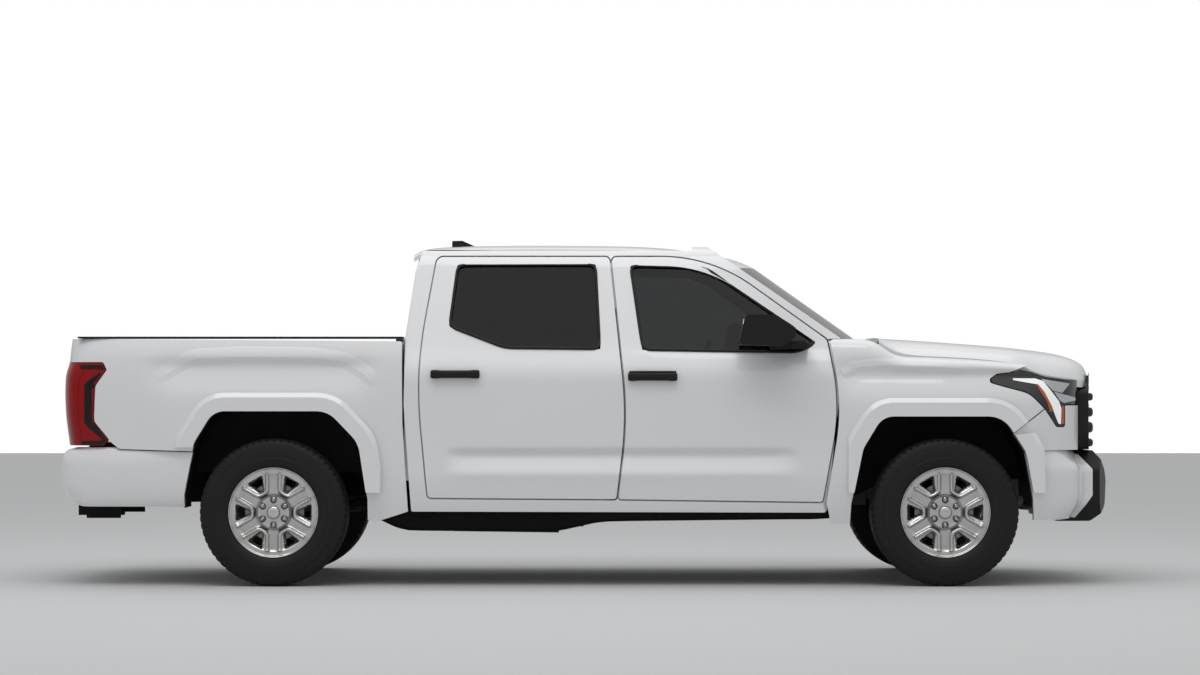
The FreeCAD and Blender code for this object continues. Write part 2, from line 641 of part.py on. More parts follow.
def front_fender(face, hood_room):
    """Right front fender, open over the wheel."""
    outline = side_points(fender_shares)
    panel = trimmed(sheet_of(face, skin), outline)
    lip = flare(side_points(front_arch_shares), 0.998, 0.855, 1.147).common(side_prism(outline, -body_width, 0))
    panel = panel.fuse(lip)
    panel = panel.cut(side_prism(side_points(front_arch_shares), -body_width, 0))
    panel = panel.cut(side_prism(grown(side_points(headlamp_room_shares), panel_gap), -body_width, 0))
    panel = panel.cut(side_prism(grown(side_points(bumper_corner_shares), panel_gap), -body_width, 0))
    rear = along(hood_line_shares[0][0])
    corner = block(rear - hood_back_room, rear + hood_back_room, -out(hood_line_shares[0][3]) - panel_gap, 0,
                   up(0.66), body_height)
    return panel.cut(hood_room).cut(corner)


def flare(corners, face_share, first, last):
    """Raised lip that follows a wheel arch: a flat band with a chamfer back to the fender."""
    face_y = out(face_share)
    outer = grown(corners, flare_face)
    foot = grown(corners, flare_face + flare_chamfer)
    band = side_prism(outer, -face_y, -face_y + skin + flare_stand)
    low = rounded_wire(outer, lambda x, z: V(x, -face_y, z))
    high = rounded_wire(foot, lambda x, z: V(x, -face_y + flare_stand, z))
    slope = Part.makeLoft([low, high], True, True)
    lip = band.fuse(slope)
    lip = lip.cut(side_prism(corners, -body_width, 0))
    keep = block(along(first), along(last), -body_width, 0, up(0.27), body_height)
    return lip.common(keep)


def headlamp(face, hood_room):
    """Right headlamp, wrapped from the fender to the grille."""
    direction = V(-1, 1, 0) / math.sqrt(2)
    body = sheet_of(face, lamp_depth, 0, direction)
    body = body.common(side_prism(side_points(headlamp_shares), -body_width, 0))
    inner = block(0, overall_length, -out(0.72) - panel_gap, overrun, 0, body_height)
    return body.cut(inner).cut(hood_room)


def hood_face():
    """Hood from side to side: a crowned middle that rolls down to its shut lines."""
    rows = []
    for y_share, height_share in [(-y, h) for y, h in reversed(hood_section_shares)] + hood_section_shares[1:]:
        row = []
        for x_share, crown_share, edge_share, half_share in hood_line_shares:
            z = up(edge_share + (crown_share - edge_share) * height_share)
            row.append(V(along(x_share), out(half_share) * y_share, z))
        rows.append(row)
    return smooth_face(rows)


def hood_solid():
    """Hood with its folded edges."""
    return hood_face().extrude(V(0, 0, -hood_thickness))


def hood_space():
    """Room over the hood's plan outline, from below its folded edges up, with the gap round it."""
    edge = [(along(x), -out(half), 0) for x, crown, low, half in hood_line_shares]
    outline = [(along(0.87), -out(hood_line_shares[0][3]), 0)] + edge[2:]
    outline += [(edge[-1][0], overrun, 0), (along(0.87), overrun, 0)]
    return plan_prism(grown(outline, hood_gap), up(hood_under_share), body_height)


def mirrored_outline(half):
    """Closed outline from the right half of a symmetrical one, top to bottom."""
    right = [(-out(y), up(z), up(radius)) for y, z, radius in half]
    return right + [(-y, z, radius) for y, z, radius in reversed(right)]


def grille(hood_room):
    """Black surround with cross slats."""
    outer = mirrored_outline(grille_outer_shares)
    inner = grown(outer, -grille_border)
    nose = max(x for x, z, radius in side_points(grille_profile_shares))
    plan = [(nose - grille_corner_back * 2.2, -half_width, 0), (nose - grille_corner_back, -out(0.76), 0),
            (nose - overrun * 0.3, -out(0.40), 0), (nose, 0, up(0.5)), (nose - overrun * 0.3, out(0.40), 0),
            (nose - grille_corner_back, out(0.76), 0), (nose - grille_corner_back * 2.2, half_width, 0)]
    body = side_prism(side_points(grille_profile_shares), -half_width, half_width)
    body = body.common(plan_prism(plan, 0, body_height)).cut(hood_room).cut(mirrored(hood_room))
    ring = body.common(front_prism(outer, 0, overall_length)).cut(front_prism(inner, 0, overall_length))
    low = min(z for y, z, radius in inner)
    high = max(z for y, z, radius in inner)
    step = (high - low) / slat_count
    opening = front_prism(grown(inner, sheet), 0, overall_length)
    parts = [ring]
    for index in range(slat_count):
        z = low + step * (index + 0.5)
        slat = block(0, nose, -half_width, half_width, z - slat_height / 2, z + slat_height / 2)
        parts.append(body.common(slat).common(opening))
    return fused(parts)


def valance():
    """Black middle of the front bumper with its air opening."""
    body = front_prism(mirrored_outline(valance_shares), along(1.18), overall_length)
    body = body.common(side_prism(side_points(valance_profile_shares), -half_width, half_width))
    nose = overall_length / 2
    plan = [(along(1.15), -out(0.8), 0), (nose - out(0.085), -out(0.72), 0), (nose, -out(0.40), up(0.1)),
            (nose, out(0.40), up(0.1)), (nose - out(0.085), out(0.72), 0), (along(1.15), out(0.8), 0)]
    return body.common(plan_prism(plan, 0, body_height))


def wrap_face(plan_shares, rows_shares, turn):
    """Bumper skin round a right corner; turn is 1 at the front and -1 at the rear."""
    rows = []
    for z_share, pull_x, pull_y in rows_shares:
        rows.append([V(along(x_share) - turn * wheelbase * pull_x * frontness,
                       -out(y_share - pull_y * (1 - frontness * 0.6)), up(z_share))
                     for x_share, y_share, frontness in plan_shares])
    return smooth_face(rows)


def front_bumper(nose):
    """Body colour bumper ends that wrap round the corners."""
    face = wrap_face(front_bumper_plan_shares, front_bumper_rows_shares, 1)
    wing = sheet_of(face, bumper_wall, 0, V(-1, 1, 0) / math.sqrt(2))
    wing = wing.cut(side_prism(side_points(front_arch_shares), -body_width, 0))
    wing = wing.cut(front_prism(grown(mirrored_outline(valance_shares), panel_gap), 0, overall_length))
    wing = wing.cut(front_prism(grown(mirrored_outline(grille_outer_shares), panel_gap), 0, overall_length))
    wing = wing.common(block(along(1.120), overall_length, -body_width, 0, 0, up(0.3915)))
    corner = sheet_of(nose, bumper_wall, 0, V(-1, 1, 0) / math.sqrt(2))
    corner = corner.common(side_prism(side_points(bumper_corner_shares), -body_width, 0))
    corner = corner.cut(block(0, overall_length, -out(0.715) - panel_gap, overrun, 0, body_height))
    fender = side_prism(grown(side_points(fender_shares), panel_gap), -body_width, 0)
    corner = corner.fuse(flare(side_points(front_arch_shares), 0.998, 0.855, 1.147).cut(fender))
    corner = corner.cut(side_prism(grown(side_points(headlamp_shares), panel_gap), -body_width, 0))
    corner = corner.cut(side_prism(side_points(front_arch_shares), -body_width, 0))
    return fused([wing, corner])


def rear_bumper():
    """Rear bumper from wheel arch to wheel arch, with a flat step."""
    face = wrap_face(rear_bumper_plan_shares, rear_bumper_rows_shares, -1)
    half = sheet_of(face, bumper_wall, 0, V(1, 1, 0) / math.sqrt(2))
    half = half.cut(side_prism(grown(side_points(rear_arch_shares), 0), -body_width, 0))
    half = half.common(block(-overall_length, 0, -body_width, 0, 0, up(bumper_top_share)))
    below = grown(side_points(bed_side_shares), panel_gap)
    half = half.cut(block(-overall_length, 0, -tailgate_half - jamb_width, 0, up(gate_step_share), body_height))
    return half.cut(side_prism(below, -body_width, 0))


# Bed
bed_floor_share = 0.436
bed_floor_thickness = 26.0
rail_cap_height = 10.0
rail_top_share = 0.7135
tailgate_half = 786.0
tailgate_thickness = 66.0
tailgate_low_share = 0.4135
jamb_width = 34.0
gate_pin_radius = 9.0
gate_pin_length = 26.0
gate_hinge_inset = 20.0
tailgate_plan_shares = [(0, 0.0), (0.35, 0.0007), (0.65, 0.0025), (0.85, 0.0050), (1.0, 0.0075)]
tailgate_back_share = -0.3135
headboard_thickness = 42.0


def bed_side(face):
    """Right bed wall, thick above the floor and a single skin below it, with the wheel box."""
    outline = side_points(bed_side_shares)
    wall = trimmed(sheet_of(face, half_width * 0.6), outline)
    wall = wall.common(block(-overall_length, overall_length, -body_width, -bed_half_width, 0, up(rail_top_share)))
    hollow = sheet_of(face, half_width, skin).common(
        block(-overall_length, overall_length, -body_width, 0, 0, up(bed_floor_share) - bed_floor_thickness))
    wall = wall.cut(hollow)
    arch = side_points(rear_arch_shares)
    wall = wall.cut(side_prism(arch, -body_width, 0))
    lamp = grown(side_points(tail_lamp_shares), panel_gap)
    direction = V(1, 1, 0) / math.sqrt(2)
    room = sheet_of(face, tail_lamp_depth + seat_gap, -overrun, direction)
    wall = wall.cut(room.common(side_prism(lamp, -body_width, seat_gap - tailgate_half - jamb_width)))
    gate = block(-overall_length, along(tailgate_back_share) + tailgate_thickness + overrun,
                 -tailgate_half - panel_gap, overrun, 0, body_height)
    wall = wall.cut(gate)
    house = arch_house(arch, out(0.99), wheel_box_y, up(rear_wall_low_share)).cut(sheet_of(face, skin / 2, -overrun * 3))
    house = house.cut(block(-overall_length, rear_axle_x, -body_width, -out(0.86), 0, up(bumper_top_share)))
    pin = rod(V(gate_hinge_x(), -tailgate_half - jamb_width * 0.8, gate_hinge_z()),
              V(gate_hinge_x(), -tailgate_half + gate_pin_length, gate_hinge_z()), gate_pin_radius)
    return fused([wall, house, pin])


def tail_lamp(face):
    """Right tail lamp, wrapped round the corner of the bed."""
    direction = V(1, 1, 0) / math.sqrt(2)
    body = sheet_of(face, tail_lamp_depth, 0, direction)
    body = body.common(side_prism(side_points(tail_lamp_shares), -body_width, 0))
    return body.cut(block(-overall_length, 0, -tailgate_half - jamb_width, overrun, 0, body_height))


def gate_hinge_x():
    """Place of the tailgate's hinge axis along the truck."""
    return along(tailgate_back_share + tailgate_plan_shares[-1][1]) + gate_hinge_inset


def gate_hinge_z():
    """Height of the tailgate's hinge axis."""
    return up(tailgate_low_share) + gate_hinge_inset


def tailgate():
    """Tailgate, bowed a little in plan."""
    rows = []
    for share, lead in [(-y, x) for y, x in reversed(tailgate_plan_shares)] + tailgate_plan_shares[1:]:
        x = along(tailgate_back_share + lead)
        rows.append([V(x + fall, tailgate_half * share, up(z)) for z, fall in
                     ((tailgate_low_share, 0), (0.45, 0), (0.55, 0), (0.62, 0), (0.66, sheet), (0.69, sheet * 1.5),
                      (rail_top_share, sheet * 2))])
    face = smooth_face(rows)
    body = face.extrude(V(tailgate_thickness, 0, 0))
    inner = block(along(tailgate_back_share) + tailgate_thickness, 0, -half_width, half_width, 0, body_height)
    body = body.cut(inner)
    for side in (-1, 1):
        bore = rod(V(gate_hinge_x(), side * (tailgate_half + overrun), gate_hinge_z()),
                   V(gate_hinge_x(), side * (tailgate_half - gate_pin_length - seat_gap), gate_hinge_z()),
                   gate_pin_radius + seat_gap)
        body = body.cut(bore)
    return body


def bed_floor():
    """Bed floor with raised ribs, notched round the wheel boxes, and the headboard at its front."""
    front = along(0.1915) - panel_gap
    rear = along(tailgate_back_share) + tailgate_thickness + panel_gap * 2
    top = up(bed_floor_share)
    reach = bed_half_width - seat_gap
    floor = block(rear, front, -reach, reach, top - bed_floor_thickness, top)
    arch = side_points(rear_arch_shares)
    for side in (-1, 1):
        floor = floor.cut(side_prism(grown(arch, sheet + seat_gap), side * (wheel_box_y - seat_gap),
                                     side * half_width))
    rib_count = 9
    pitch = 2 * (wheel_box_y - overrun) / rib_count
    ribs = []
    for index in range(rib_count):
        y = (index - (rib_count - 1) / 2) * pitch
        ribs.append(block(rear + overrun, front - headboard_thickness * 2, y - pitch / 4, y + pitch / 4, top - sheet / 2,
                          top + sheet))
    head = block(front - headboard_thickness, front, -reach, reach, top - sheet, up(rail_top_share))
    return fused([floor, head] + ribs)


def rail_cap():
    """Black cap on the top of the right bed wall."""
    top = up(rail_top_share)
    strip = block(along(-0.293), along(0.1915), -out(0.918), -bed_half_width + panel_gap, top + seat_gap,
                  top + rail_cap_height)
    return strip


# Wheels
spoke_face_y = 62.0
rim_window_inner = 122.0
rim_window_outer = 212.0


def wheel_turn(profile, x, side):
    """Turned wheel part: profile is (radius, distance outboard of the wheel's middle plane)."""
    points = [(radius, side * (wheel_y + offset)) for radius, offset in profile]
    return turned(points, V(x, 0, hub_z), V(0, 1, 0))


def tyre(x, side):
    """Tyre with its hollow."""
    half = tyre_width / 2
    rim = rim_width / 2
    outer = [(bead_radius + seat_gap, rim * 0.60), (bead_radius + seat_gap, rim * 0.88),
             (rim_lip_radius + 1.5, rim * 0.96), (rim_lip_radius + 4.0, rim * 1.04),
             (bead_radius + 60.0, half * 0.985), (bead_radius + 96.0, half), (tyre_radius - 48.0, half * 0.97),
             (tyre_radius - 16.0, half * 0.86), (tyre_radius - 3.0, half * 0.72), (tyre_radius, half * 0.30)]
    inner = [(bead_radius + sheet, rim * 0.70), (bead_radius + 50.0, half * 0.87), (tyre_radius - 56.0, half * 0.87),
             (tyre_radius - 20.0, half * 0.70)]
    profile = outer + [(r, -y) for r, y in reversed(outer)] + [(r, -y) for r, y in inner] \
        + [(r, y) for r, y in reversed(inner)]
    return wheel_turn(profile, x, side)


def rim(x, side):
    """Steel wheel with six spokes, hub and brake disc."""
    rim_half = rim_width / 2
    barrel = [(bead_radius, -rim_half * 0.90), (bead_radius, rim_half * 0.90), (rim_lip_radius, rim_half * 0.98),
              (rim_lip_radius, rim_half * 1.06), (rim_lip_radius - 7.0, rim_half * 1.06),
              (bead_radius - 12.0, rim_half * 0.80), (bead_radius - 12.0, -rim_half * 0.80),
              (rim_lip_radius - 7.0, -rim_half * 1.06), (rim_lip_radius, -rim_half * 1.06),
              (rim_lip_radius, -rim_half * 0.98)]
    face = [(0, spoke_face_y - 12.0), (0, spoke_face_y + 8.0), (hub_radius * 0.45, spoke_face_y + 8.0),
            (hub_radius * 0.50, spoke_face_y), (hub_radius * 1.15, spoke_face_y), (hub_radius * 1.35, spoke_face_y + 14.0),
            (bead_radius - 30.0, spoke_face_y + 22.0), (bead_radius - 8.0, rim_half * 0.93),
            (bead_radius - 8.0, rim_half * 0.70), (bead_radius - 34.0, spoke_face_y + 2.0),
            (hub_radius * 1.35, spoke_face_y - 8.0), (hub_radius, spoke_face_y - 18.0), (0, spoke_face_y - 18.0)]
    body = wheel_turn(barrel, x, side).fuse(wheel_turn(face, x, side))
    for index in range(lug_count):
        turn = 360.0 / lug_count * index
        corners = []
        for radius, angle, corner in ((rim_window_inner, -9.0, 10.0), (rim_window_inner, 9.0, 10.0),
                                      (rim_window_outer, 15.0, 14.0), (rim_window_outer, -15.0, 14.0)):
            way = math.radians(turn + angle)
            corners.append((x + radius * math.cos(way), hub_z + radius * math.sin(way), corner))
        body = body.cut(side_prism(corners, side * (wheel_y + rim_half * 1.2), side * (wheel_y + spoke_face_y * 0.3)))
    nuts = []
    for index in range(lug_count):
        way = math.radians(360.0 / lug_count * (index + 0.5))
        place = V(x + lug_circle_radius * math.cos(way), side * (wheel_y + spoke_face_y - 4.0),
                  hub_z + lug_circle_radius * math.sin(way))
        nuts.append(rod(place, place + V(0, side * lug_height, 0), lug_radius))
    body = fused([body] + nuts)
    disc = wheel_turn([(0, -disc_thickness), (0, spoke_face_y - 18.0), (hub_radius, spoke_face_y - 18.0),
                       (hub_radius, 0), (disc_radius, 0), (disc_radius, -disc_thickness)], x, side)
    return Part.makeCompound([body, disc])

# Ladder frame and running gear
rail_y = 408.0
rail_width = 74.0
rail_height = 132.0
rail_end_drop = 24.0
rail_front_share = 0.302
member_shares = (-0.285, -0.130, 0.200, 0.400, 1.165)
member_height = 46.0
tower_half = 150.0
arm_thickness = 30.0
axle_tube_radius = 46.0
pinion_length = 232.0
pinion_radius = 56.0
link_radius = 24.0
spring_radius = 58.0
shaft_radius = 45.0
diff_radius = 150.0
knuckle_half = 42.0


def rail_line():
    """Lower edge of the rails in side view: under the bed, over the axle, under the cab, up to the front."""
    rear = up(bed_floor_share) - bed_floor_thickness - rail_height - seat_gap
    middle = up(cab_floor_share) - cab_floor_thickness - rail_height - seat_gap
    front = up(rail_front_share)
    return [(along(-0.296), rear - rail_end_drop), (along(-0.160), rear - rail_end_drop), (along(-0.085), rear),
            (along(0.075), rear), (along(0.185), middle), (along(0.852), middle), (along(0.930), front),
            (along(1.180), front)]


def lower_arm_z():
    """Height of the top of the lower front arms."""
    return hub_z - 120.0


hanger_radius = 22.0


def spare_place():
    """Centre of the spare wheel under the bed, and the height of its dish's upper face."""
    centre = V(along(-0.190), 0, up(0.232))
    return centre, centre.z + tyre_width * 0.35 + sheet


def ladder_frame():
    """Two rails with a kick over the rear axle, cross members and the hitch receiver."""
    line = rail_line()
    low = [(x, z, up(0.02)) for x, z in line]
    high = [(x, z + rail_height, radius) for x, z, radius in reversed(low)]
    pieces = []
    for side in (-1, 1):
        pieces.append(side_prism(low + high, side * rail_y, side * (rail_y + rail_width)))
    for x_share in member_shares:
        z = between(line, along(x_share)) + rail_height - sheet / 2
        pieces.append(block(along(x_share) - rail_width / 2, along(x_share) + rail_width / 2, -rail_y - sheet,
                            rail_y + sheet, z - member_height, z))
    front_z = up(rail_front_share)
    pieces.append(block(front_axle_x - tower_half * 0.4, front_axle_x + tower_half * 0.4, -rail_y - sheet, rail_y + sheet,
                        lower_arm_z() - sheet, lower_arm_z() + member_height * 2))
    for side in (-1, 1):
        pieces.append(block(front_axle_x - tower_half, front_axle_x + tower_half, side * rail_y,
                            side * (rail_y + rail_width), lower_arm_z() - arm_thickness - sheet, front_z + sheet))
    spare, dish_top = spare_place()
    hanger_z = between(line, spare.x) + rail_height - sheet / 2
    pieces.append(block(spare.x - rail_width / 2, spare.x + rail_width / 2, -rail_y - sheet, rail_y + sheet,
                        hanger_z - member_height, hanger_z))
    pieces.append(Part.makeCylinder(hanger_radius, hanger_z - member_height / 2 - dish_top - seat_gap,
                                    V(spare.x, 0, dish_top + seat_gap), V(0, 0, 1)))
    return fused(pieces)


hitch_bore = 51.0
hitch_wall = 8.0
hitch_length = 260.0
hitch_z_share = 0.205


def hitch_receiver():
    """Square receiver tube under the rear bumper, on a cross tube with side plates to the rails."""
    half = hitch_bore / 2 + hitch_wall
    z = up(hitch_z_share)
    mouth = along(-0.330)
    outer = block(mouth, mouth + hitch_length, -half, half, z - half, z + half)
    cross = block(mouth + hitch_length * 0.45, mouth + hitch_length * 0.75, -rail_y - rail_width, rail_y + rail_width,
                  z - half, z + half)
    plates = []
    for side in (-1, 1):
        plates.append(block(mouth + hitch_length * 0.55, mouth + hitch_length * 1.2, side * (rail_y + rail_width),
                            side * (rail_y + rail_width + hitch_wall), z - half, up(0.37)))
    body = fused([outer, cross] + plates)
    bore = block(mouth - overrun, mouth + hitch_length + overrun, -hitch_bore / 2, hitch_bore / 2,
                 z - hitch_bore / 2, z + hitch_bore / 2)
    return body.cut(bore)


def gearbox_end():
    """Middle of the gearbox's rear face."""
    return V(along(0.66), 0, up(0.272))


def shaft_way():
    """Direction of the drive shaft, forward."""
    return (gearbox_end() - V(rear_axle_x, 0, hub_z)).normalize()


def rear_axle():
    """Axle tubes with the differential between them."""
    centre = V(rear_axle_x, 0, hub_z)
    tube_end = wheel_y - disc_thickness - seat_gap
    tube = rod(centre - V(0, tube_end, 0), centre + V(0, tube_end, 0), axle_tube_radius)
    ball = Part.makeSphere(diff_radius, centre)
    pinion = rod(centre, centre + shaft_way() * pinion_length, pinion_radius)
    return fused([tube, ball, pinion])


def rear_suspension():
    """Coil springs, trailing arms and dampers on both sides."""
    parts = []
    for side in (-1, 1):
        foot = V(rear_axle_x, side * (rail_y + rail_width / 2), hub_z + axle_tube_radius + seat_gap)
        spring_top = between(rail_line(), rear_axle_x) - seat_gap
        spring = Part.makeCylinder(spring_radius, spring_top - foot.z, foot)
        y = side * (rail_y - link_radius - seat_gap)
        arm = rod(V(rear_axle_x, y, hub_z - (axle_tube_radius + link_radius) * 1.04), V(along(0.175), y, up(0.262)),
                  link_radius)
        parts.append(spring)
        parts.append(arm)
    return Part.makeCompound(parts)


def drive_shaft():
    """Shaft from the gearbox to the differential."""
    start = V(rear_axle_x, 0, hub_z) + shaft_way() * (pinion_length + seat_gap)
    return rod(start, gearbox_end() - shaft_way() * (shaft_radius * 0.05 + seat_gap), shaft_radius)


def knuckle(side):
    """Front knuckle with its steering arm and caliper, inboard of the brake disc."""
    x = front_axle_x
    y_out = side * (wheel_y - disc_thickness - seat_gap)
    y_in = side * (wheel_y - kingpin_inset - 34.0)
    hub = rod(V(x, y_out, hub_z), V(x, y_in, hub_z), 58.0)
    upright = block(x - knuckle_half, x + knuckle_half, y_in, y_in + side * 34.0, hub_z - 120.0, hub_z + 190.0)
    arm = block(x - 150.0, x, y_in, y_in + side * 26.0, hub_z - 76.0, hub_z - 48.0)
    return fused([hub, upright, arm])


def front_suspension():
    """Upper and lower arms, spring struts and steering rack."""
    parts = []
    for side in (-1, 1):
        inner = side * (rail_y + rail_width + seat_gap)
        outer = side * (wheel_y - kingpin_inset - 34.0)
        low = lower_arm_z()
        arm = [(front_axle_x - 190.0, inner, 0), (front_axle_x + 190.0, inner, 0), (front_axle_x + 40.0, outer, 0),
               (front_axle_x - 40.0, outer, 0)]
        parts.append(plan_prism(arm, low - arm_thickness, low - seat_gap))
        high = hub_z + 190.0
        upper = [(front_axle_x - 130.0, inner, 0), (front_axle_x + 130.0, inner, 0), (front_axle_x + 30.0, outer, 0),
                 (front_axle_x - 30.0, outer, 0)]
        parts.append(plan_prism(upper, high + seat_gap, high + 22.0))
    return Part.makeCompound(parts)


pipe_radius = 32.0
gearbox_low_share = 0.220
gearbox_top_share = 0.358
gearbox_half = 128.0


def exhaust():
    """Exhaust pipe with its silencer along the right side."""
    start = V(along(0.72), -100.0, up(gearbox_low_share) - pipe_radius - seat_gap)
    points = [start, V(along(0.45), -300.0, up(0.19)), V(along(0.20), -300.0, up(0.20))]
    pipe = fused([rod(points[0], points[1], pipe_radius), Part.makeSphere(pipe_radius, points[1]),
                  rod(points[1], points[2], pipe_radius)])
    box = rod(points[1] + V(-100.0, 0, 0), points[1] + V(-700.0, 0, 8.0), 95.0)
    return fused([pipe, box])


def fuel_tank():
    """Fuel tank along the left rail."""
    low = up(0.150)
    high = between(rail_line(), along(0.40)) + rail_height - sheet / 2 - member_height - seat_gap
    corners = [(rail_y * 0.18, low, 30.0), (rail_y - seat_gap, low, 30.0), (rail_y - seat_gap, high, 20.0),
               (rail_y * 0.18, high, 20.0)]
    return front_prism(corners, along(0.225), along(0.46))


def spare_wheel():
    """Spare wheel under the bed behind the axle."""
    centre, dish_top = spare_place()
    ring = Part.makeCylinder(tyre_radius * 0.93, tyre_width * 0.82, centre, V(0, 0, 1))
    hole = Part.makeCylinder(bead_radius, tyre_width, centre + V(0, 0, -1), V(0, 0, 1))
    dish = Part.makeCylinder(bead_radius + 1, sheet, V(centre.x, 0, dish_top - sheet), V(0, 0, 1))
    return fused([ring.cut(hole), dish])


# Engine bay
def engine_bay(nose, fender):
    """Inner fender walls with wheelhouses, and the radiator support."""
    arch = side_points(front_arch_shares)
    parts = []
    house = arch_house(arch, out(0.99), arch_wall_y, up(front_wall_low_share))
    house = house.cut(sheet_of(nose, skin + seat_gap, -overrun * 4)).cut(fender)
    house = house.cut(block(front_axle_x, overall_length, -body_width, -out(0.86), 0, up(0.46)))
    parts.append(house)
    parts.append(mirrored(house))
    shelf = block(along(0.90), along(1.055), -out(0.83), -arch_wall_y - sheet, up(0.585), up(0.593))
    wall = block(along(0.87), along(1.17), -arch_wall_y - sheet, -arch_wall_y, up(0.48), up(0.593))
    parts += [shelf, mirrored(shelf), wall, mirrored(wall)]
    support = block(along(1.165), along(1.18), -out(0.64), out(0.64), up(0.235), up(0.575))
    window = block(along(1.15), along(1.20), -out(0.55), out(0.55), up(0.28), up(0.54))
    parts.append(support.cut(window))
    return fused(parts)


def engine_block():
    """Engine and gearbox as one plain block."""
    engine = block(along(0.90), along(1.12), -250.0, 250.0, up(0.24), up(0.60))
    gearbox = block(along(0.66), along(0.90), -gearbox_half, gearbox_half, up(gearbox_low_share),
                    up(gearbox_top_share))
    return fused([engine, gearbox])


cowl_depth = 75.0


def cowl():
    """Cowl panel below the windscreen with two wiper arms."""
    top = up(0.703)
    back = along(firewall_share) + firewall_thickness + seat_gap
    step = along(hood_line_shares[0][0]) - hood_back_room
    corners = [(back, -out(0.75), 0), (step, -out(0.80), 0), (step, out(0.80), 0), (back, out(0.75), 0)]
    shelf = plan_prism(corners, top - cowl_depth, top)
    tray = block(step - sheet, step + hood_back_room * 1.5, -out(0.80), out(0.80), top - cowl_depth,
                 top - cowl_depth + sheet)
    return fused([shelf, tray])


# Cabin
firewall_thickness = 36.0
tunnel_half = 172.0
tunnel_height = 112.0


def cab_floor(side):
    """Cab floor with its tunnel, and the firewall."""
    top = up(cab_floor_share)
    reach = out(0.865)
    floor = block(along(0.206), along(firewall_share), -reach, reach, top - cab_floor_thickness, top)
    firewall = block(along(firewall_share), along(firewall_share) + firewall_thickness, -out(0.86), out(0.86),
                     top - cab_floor_thickness, up(0.685))
    outline = [(-tunnel_half, top - cab_floor_thickness, 0), (-tunnel_half * 0.9, top + tunnel_height, 30.0),
               (tunnel_half * 0.9, top + tunnel_height, 30.0), (tunnel_half, top - cab_floor_thickness, 0)]
    front = along(firewall_share) + firewall_thickness
    tunnel = front_prism(outline, along(0.40), front)
    room = grown(outline[:1] + outline[1:], -sheet)
    room = [(y, z - (sheet + overrun if z < top else 0), radius) for y, z, radius in room]
    body = fused([floor, firewall, tunnel]).cut(front_prism(room, along(0.40) + sheet, front + overrun))
    return body.cut(side).cut(mirrored(side))


console_half = 130.0
hub_radius = 62.0
hub_thickness = 40.0
column_radius = 24.0


def steering_line():
    """Centre of the steering wheel and the direction of its column, up and back."""
    centre = V(along(wheel_centre_shares[0]), steering_y, up(wheel_centre_shares[1]))
    axis = V(-math.cos(math.radians(steering_tilt)), 0, math.sin(math.radians(steering_tilt)))
    return centre, axis


def dashboard():
    """Dashboard from door to door with a centre console."""
    profile = [(0.660, 0.640, 0.02), (0.640, 0.560, 0.02), (0.700, 0.480, 0.02), (0.850, 0.440, 0), (0.850, 0.680, 0),
               (0.720, 0.685, 0.03)]
    body = side_prism(side_points(profile), -out(0.80), out(0.80))
    body = body.cut(block(along(firewall_share) - seat_gap, overall_length, -body_width, body_width, 0, body_height))
    foot = up(cab_floor_share) + tunnel_height + seat_gap
    console = block(along(0.44), along(0.70), -console_half, console_half, foot, up(0.45))
    stack = block(along(0.64), along(0.72), -console_half, console_half, foot, up(0.53))
    centre, axis = steering_line()
    column = rod(centre - axis * (hub_thickness / 2 + seat_gap), centre - axis * steering_radius, column_radius)
    return fused([body, console, stack, column])


def seat(y_low, y_high, x_front, x_back, top_share, head_count):
    """Seat with cushion, leaning backrest and headrests."""
    base = up(cab_floor_share)
    cushion = [(x_front, base + 170.0, 30.0), (x_front, base + 300.0, 50.0), (x_back + 80.0, base + 270.0, 0),
               (x_back + 80.0, base + 150.0, 0)]
    parts = [side_prism(cushion, y_low, y_high)]
    back = [(x_back + 150.0, base + 150.0, 0), (x_back + 130.0, base + 350.0, 40.0), (x_back - 20.0, up(top_share), 50.0),
            (x_back - 120.0, up(top_share), 50.0), (x_back, base + 150.0, 0)]
    parts.append(side_prism(back, y_low, y_high))
    pedestal = block(x_back + 90.0, x_front - 70.0, y_low + 60.0, y_high - 60.0, base + seat_gap, base + 200.0)
    parts.append(pedestal)
    width = (y_high - y_low) / head_count
    for index in range(head_count):
        middle = y_low + width * (index + 0.5)
        head = block(x_back - 120.0, x_back - 30.0, middle - 120.0, middle + 120.0, up(top_share) - 10.0,
                     up(top_share) + 170.0)
        parts.append(head)
    return fused(parts)


def front_seats():
    """Two front seats."""
    right = seat(-700.0, -190.0, along(0.60), along(0.445), 0.775, 1)
    return both_sides(right)


def rear_bench():
    """Rear bench across the cab."""
    return seat(-680.0, 680.0, along(0.360), along(0.256), 0.760, 3)


wheel_centre_shares = (0.640, 0.625)
steering_y = 378.0
steering_radius = 190.0
steering_tilt = 26.0


def steering_wheel():
    """Steering wheel with hub and spokes on its column."""
    centre, axis = steering_line()
    ring = Part.makeTorus(steering_radius, 15.0, centre, axis)
    hub = Part.makeCylinder(hub_radius, hub_thickness, centre - axis * hub_thickness / 2, axis)
    side = V(0, 1, 0)
    down = axis.cross(side)
    spokes = []
    for way in (side, side * -1, down):
        spokes.append(rod(centre, centre + way * (steering_radius - 4.0), 12.0))
    return fused([ring, hub] + spokes)


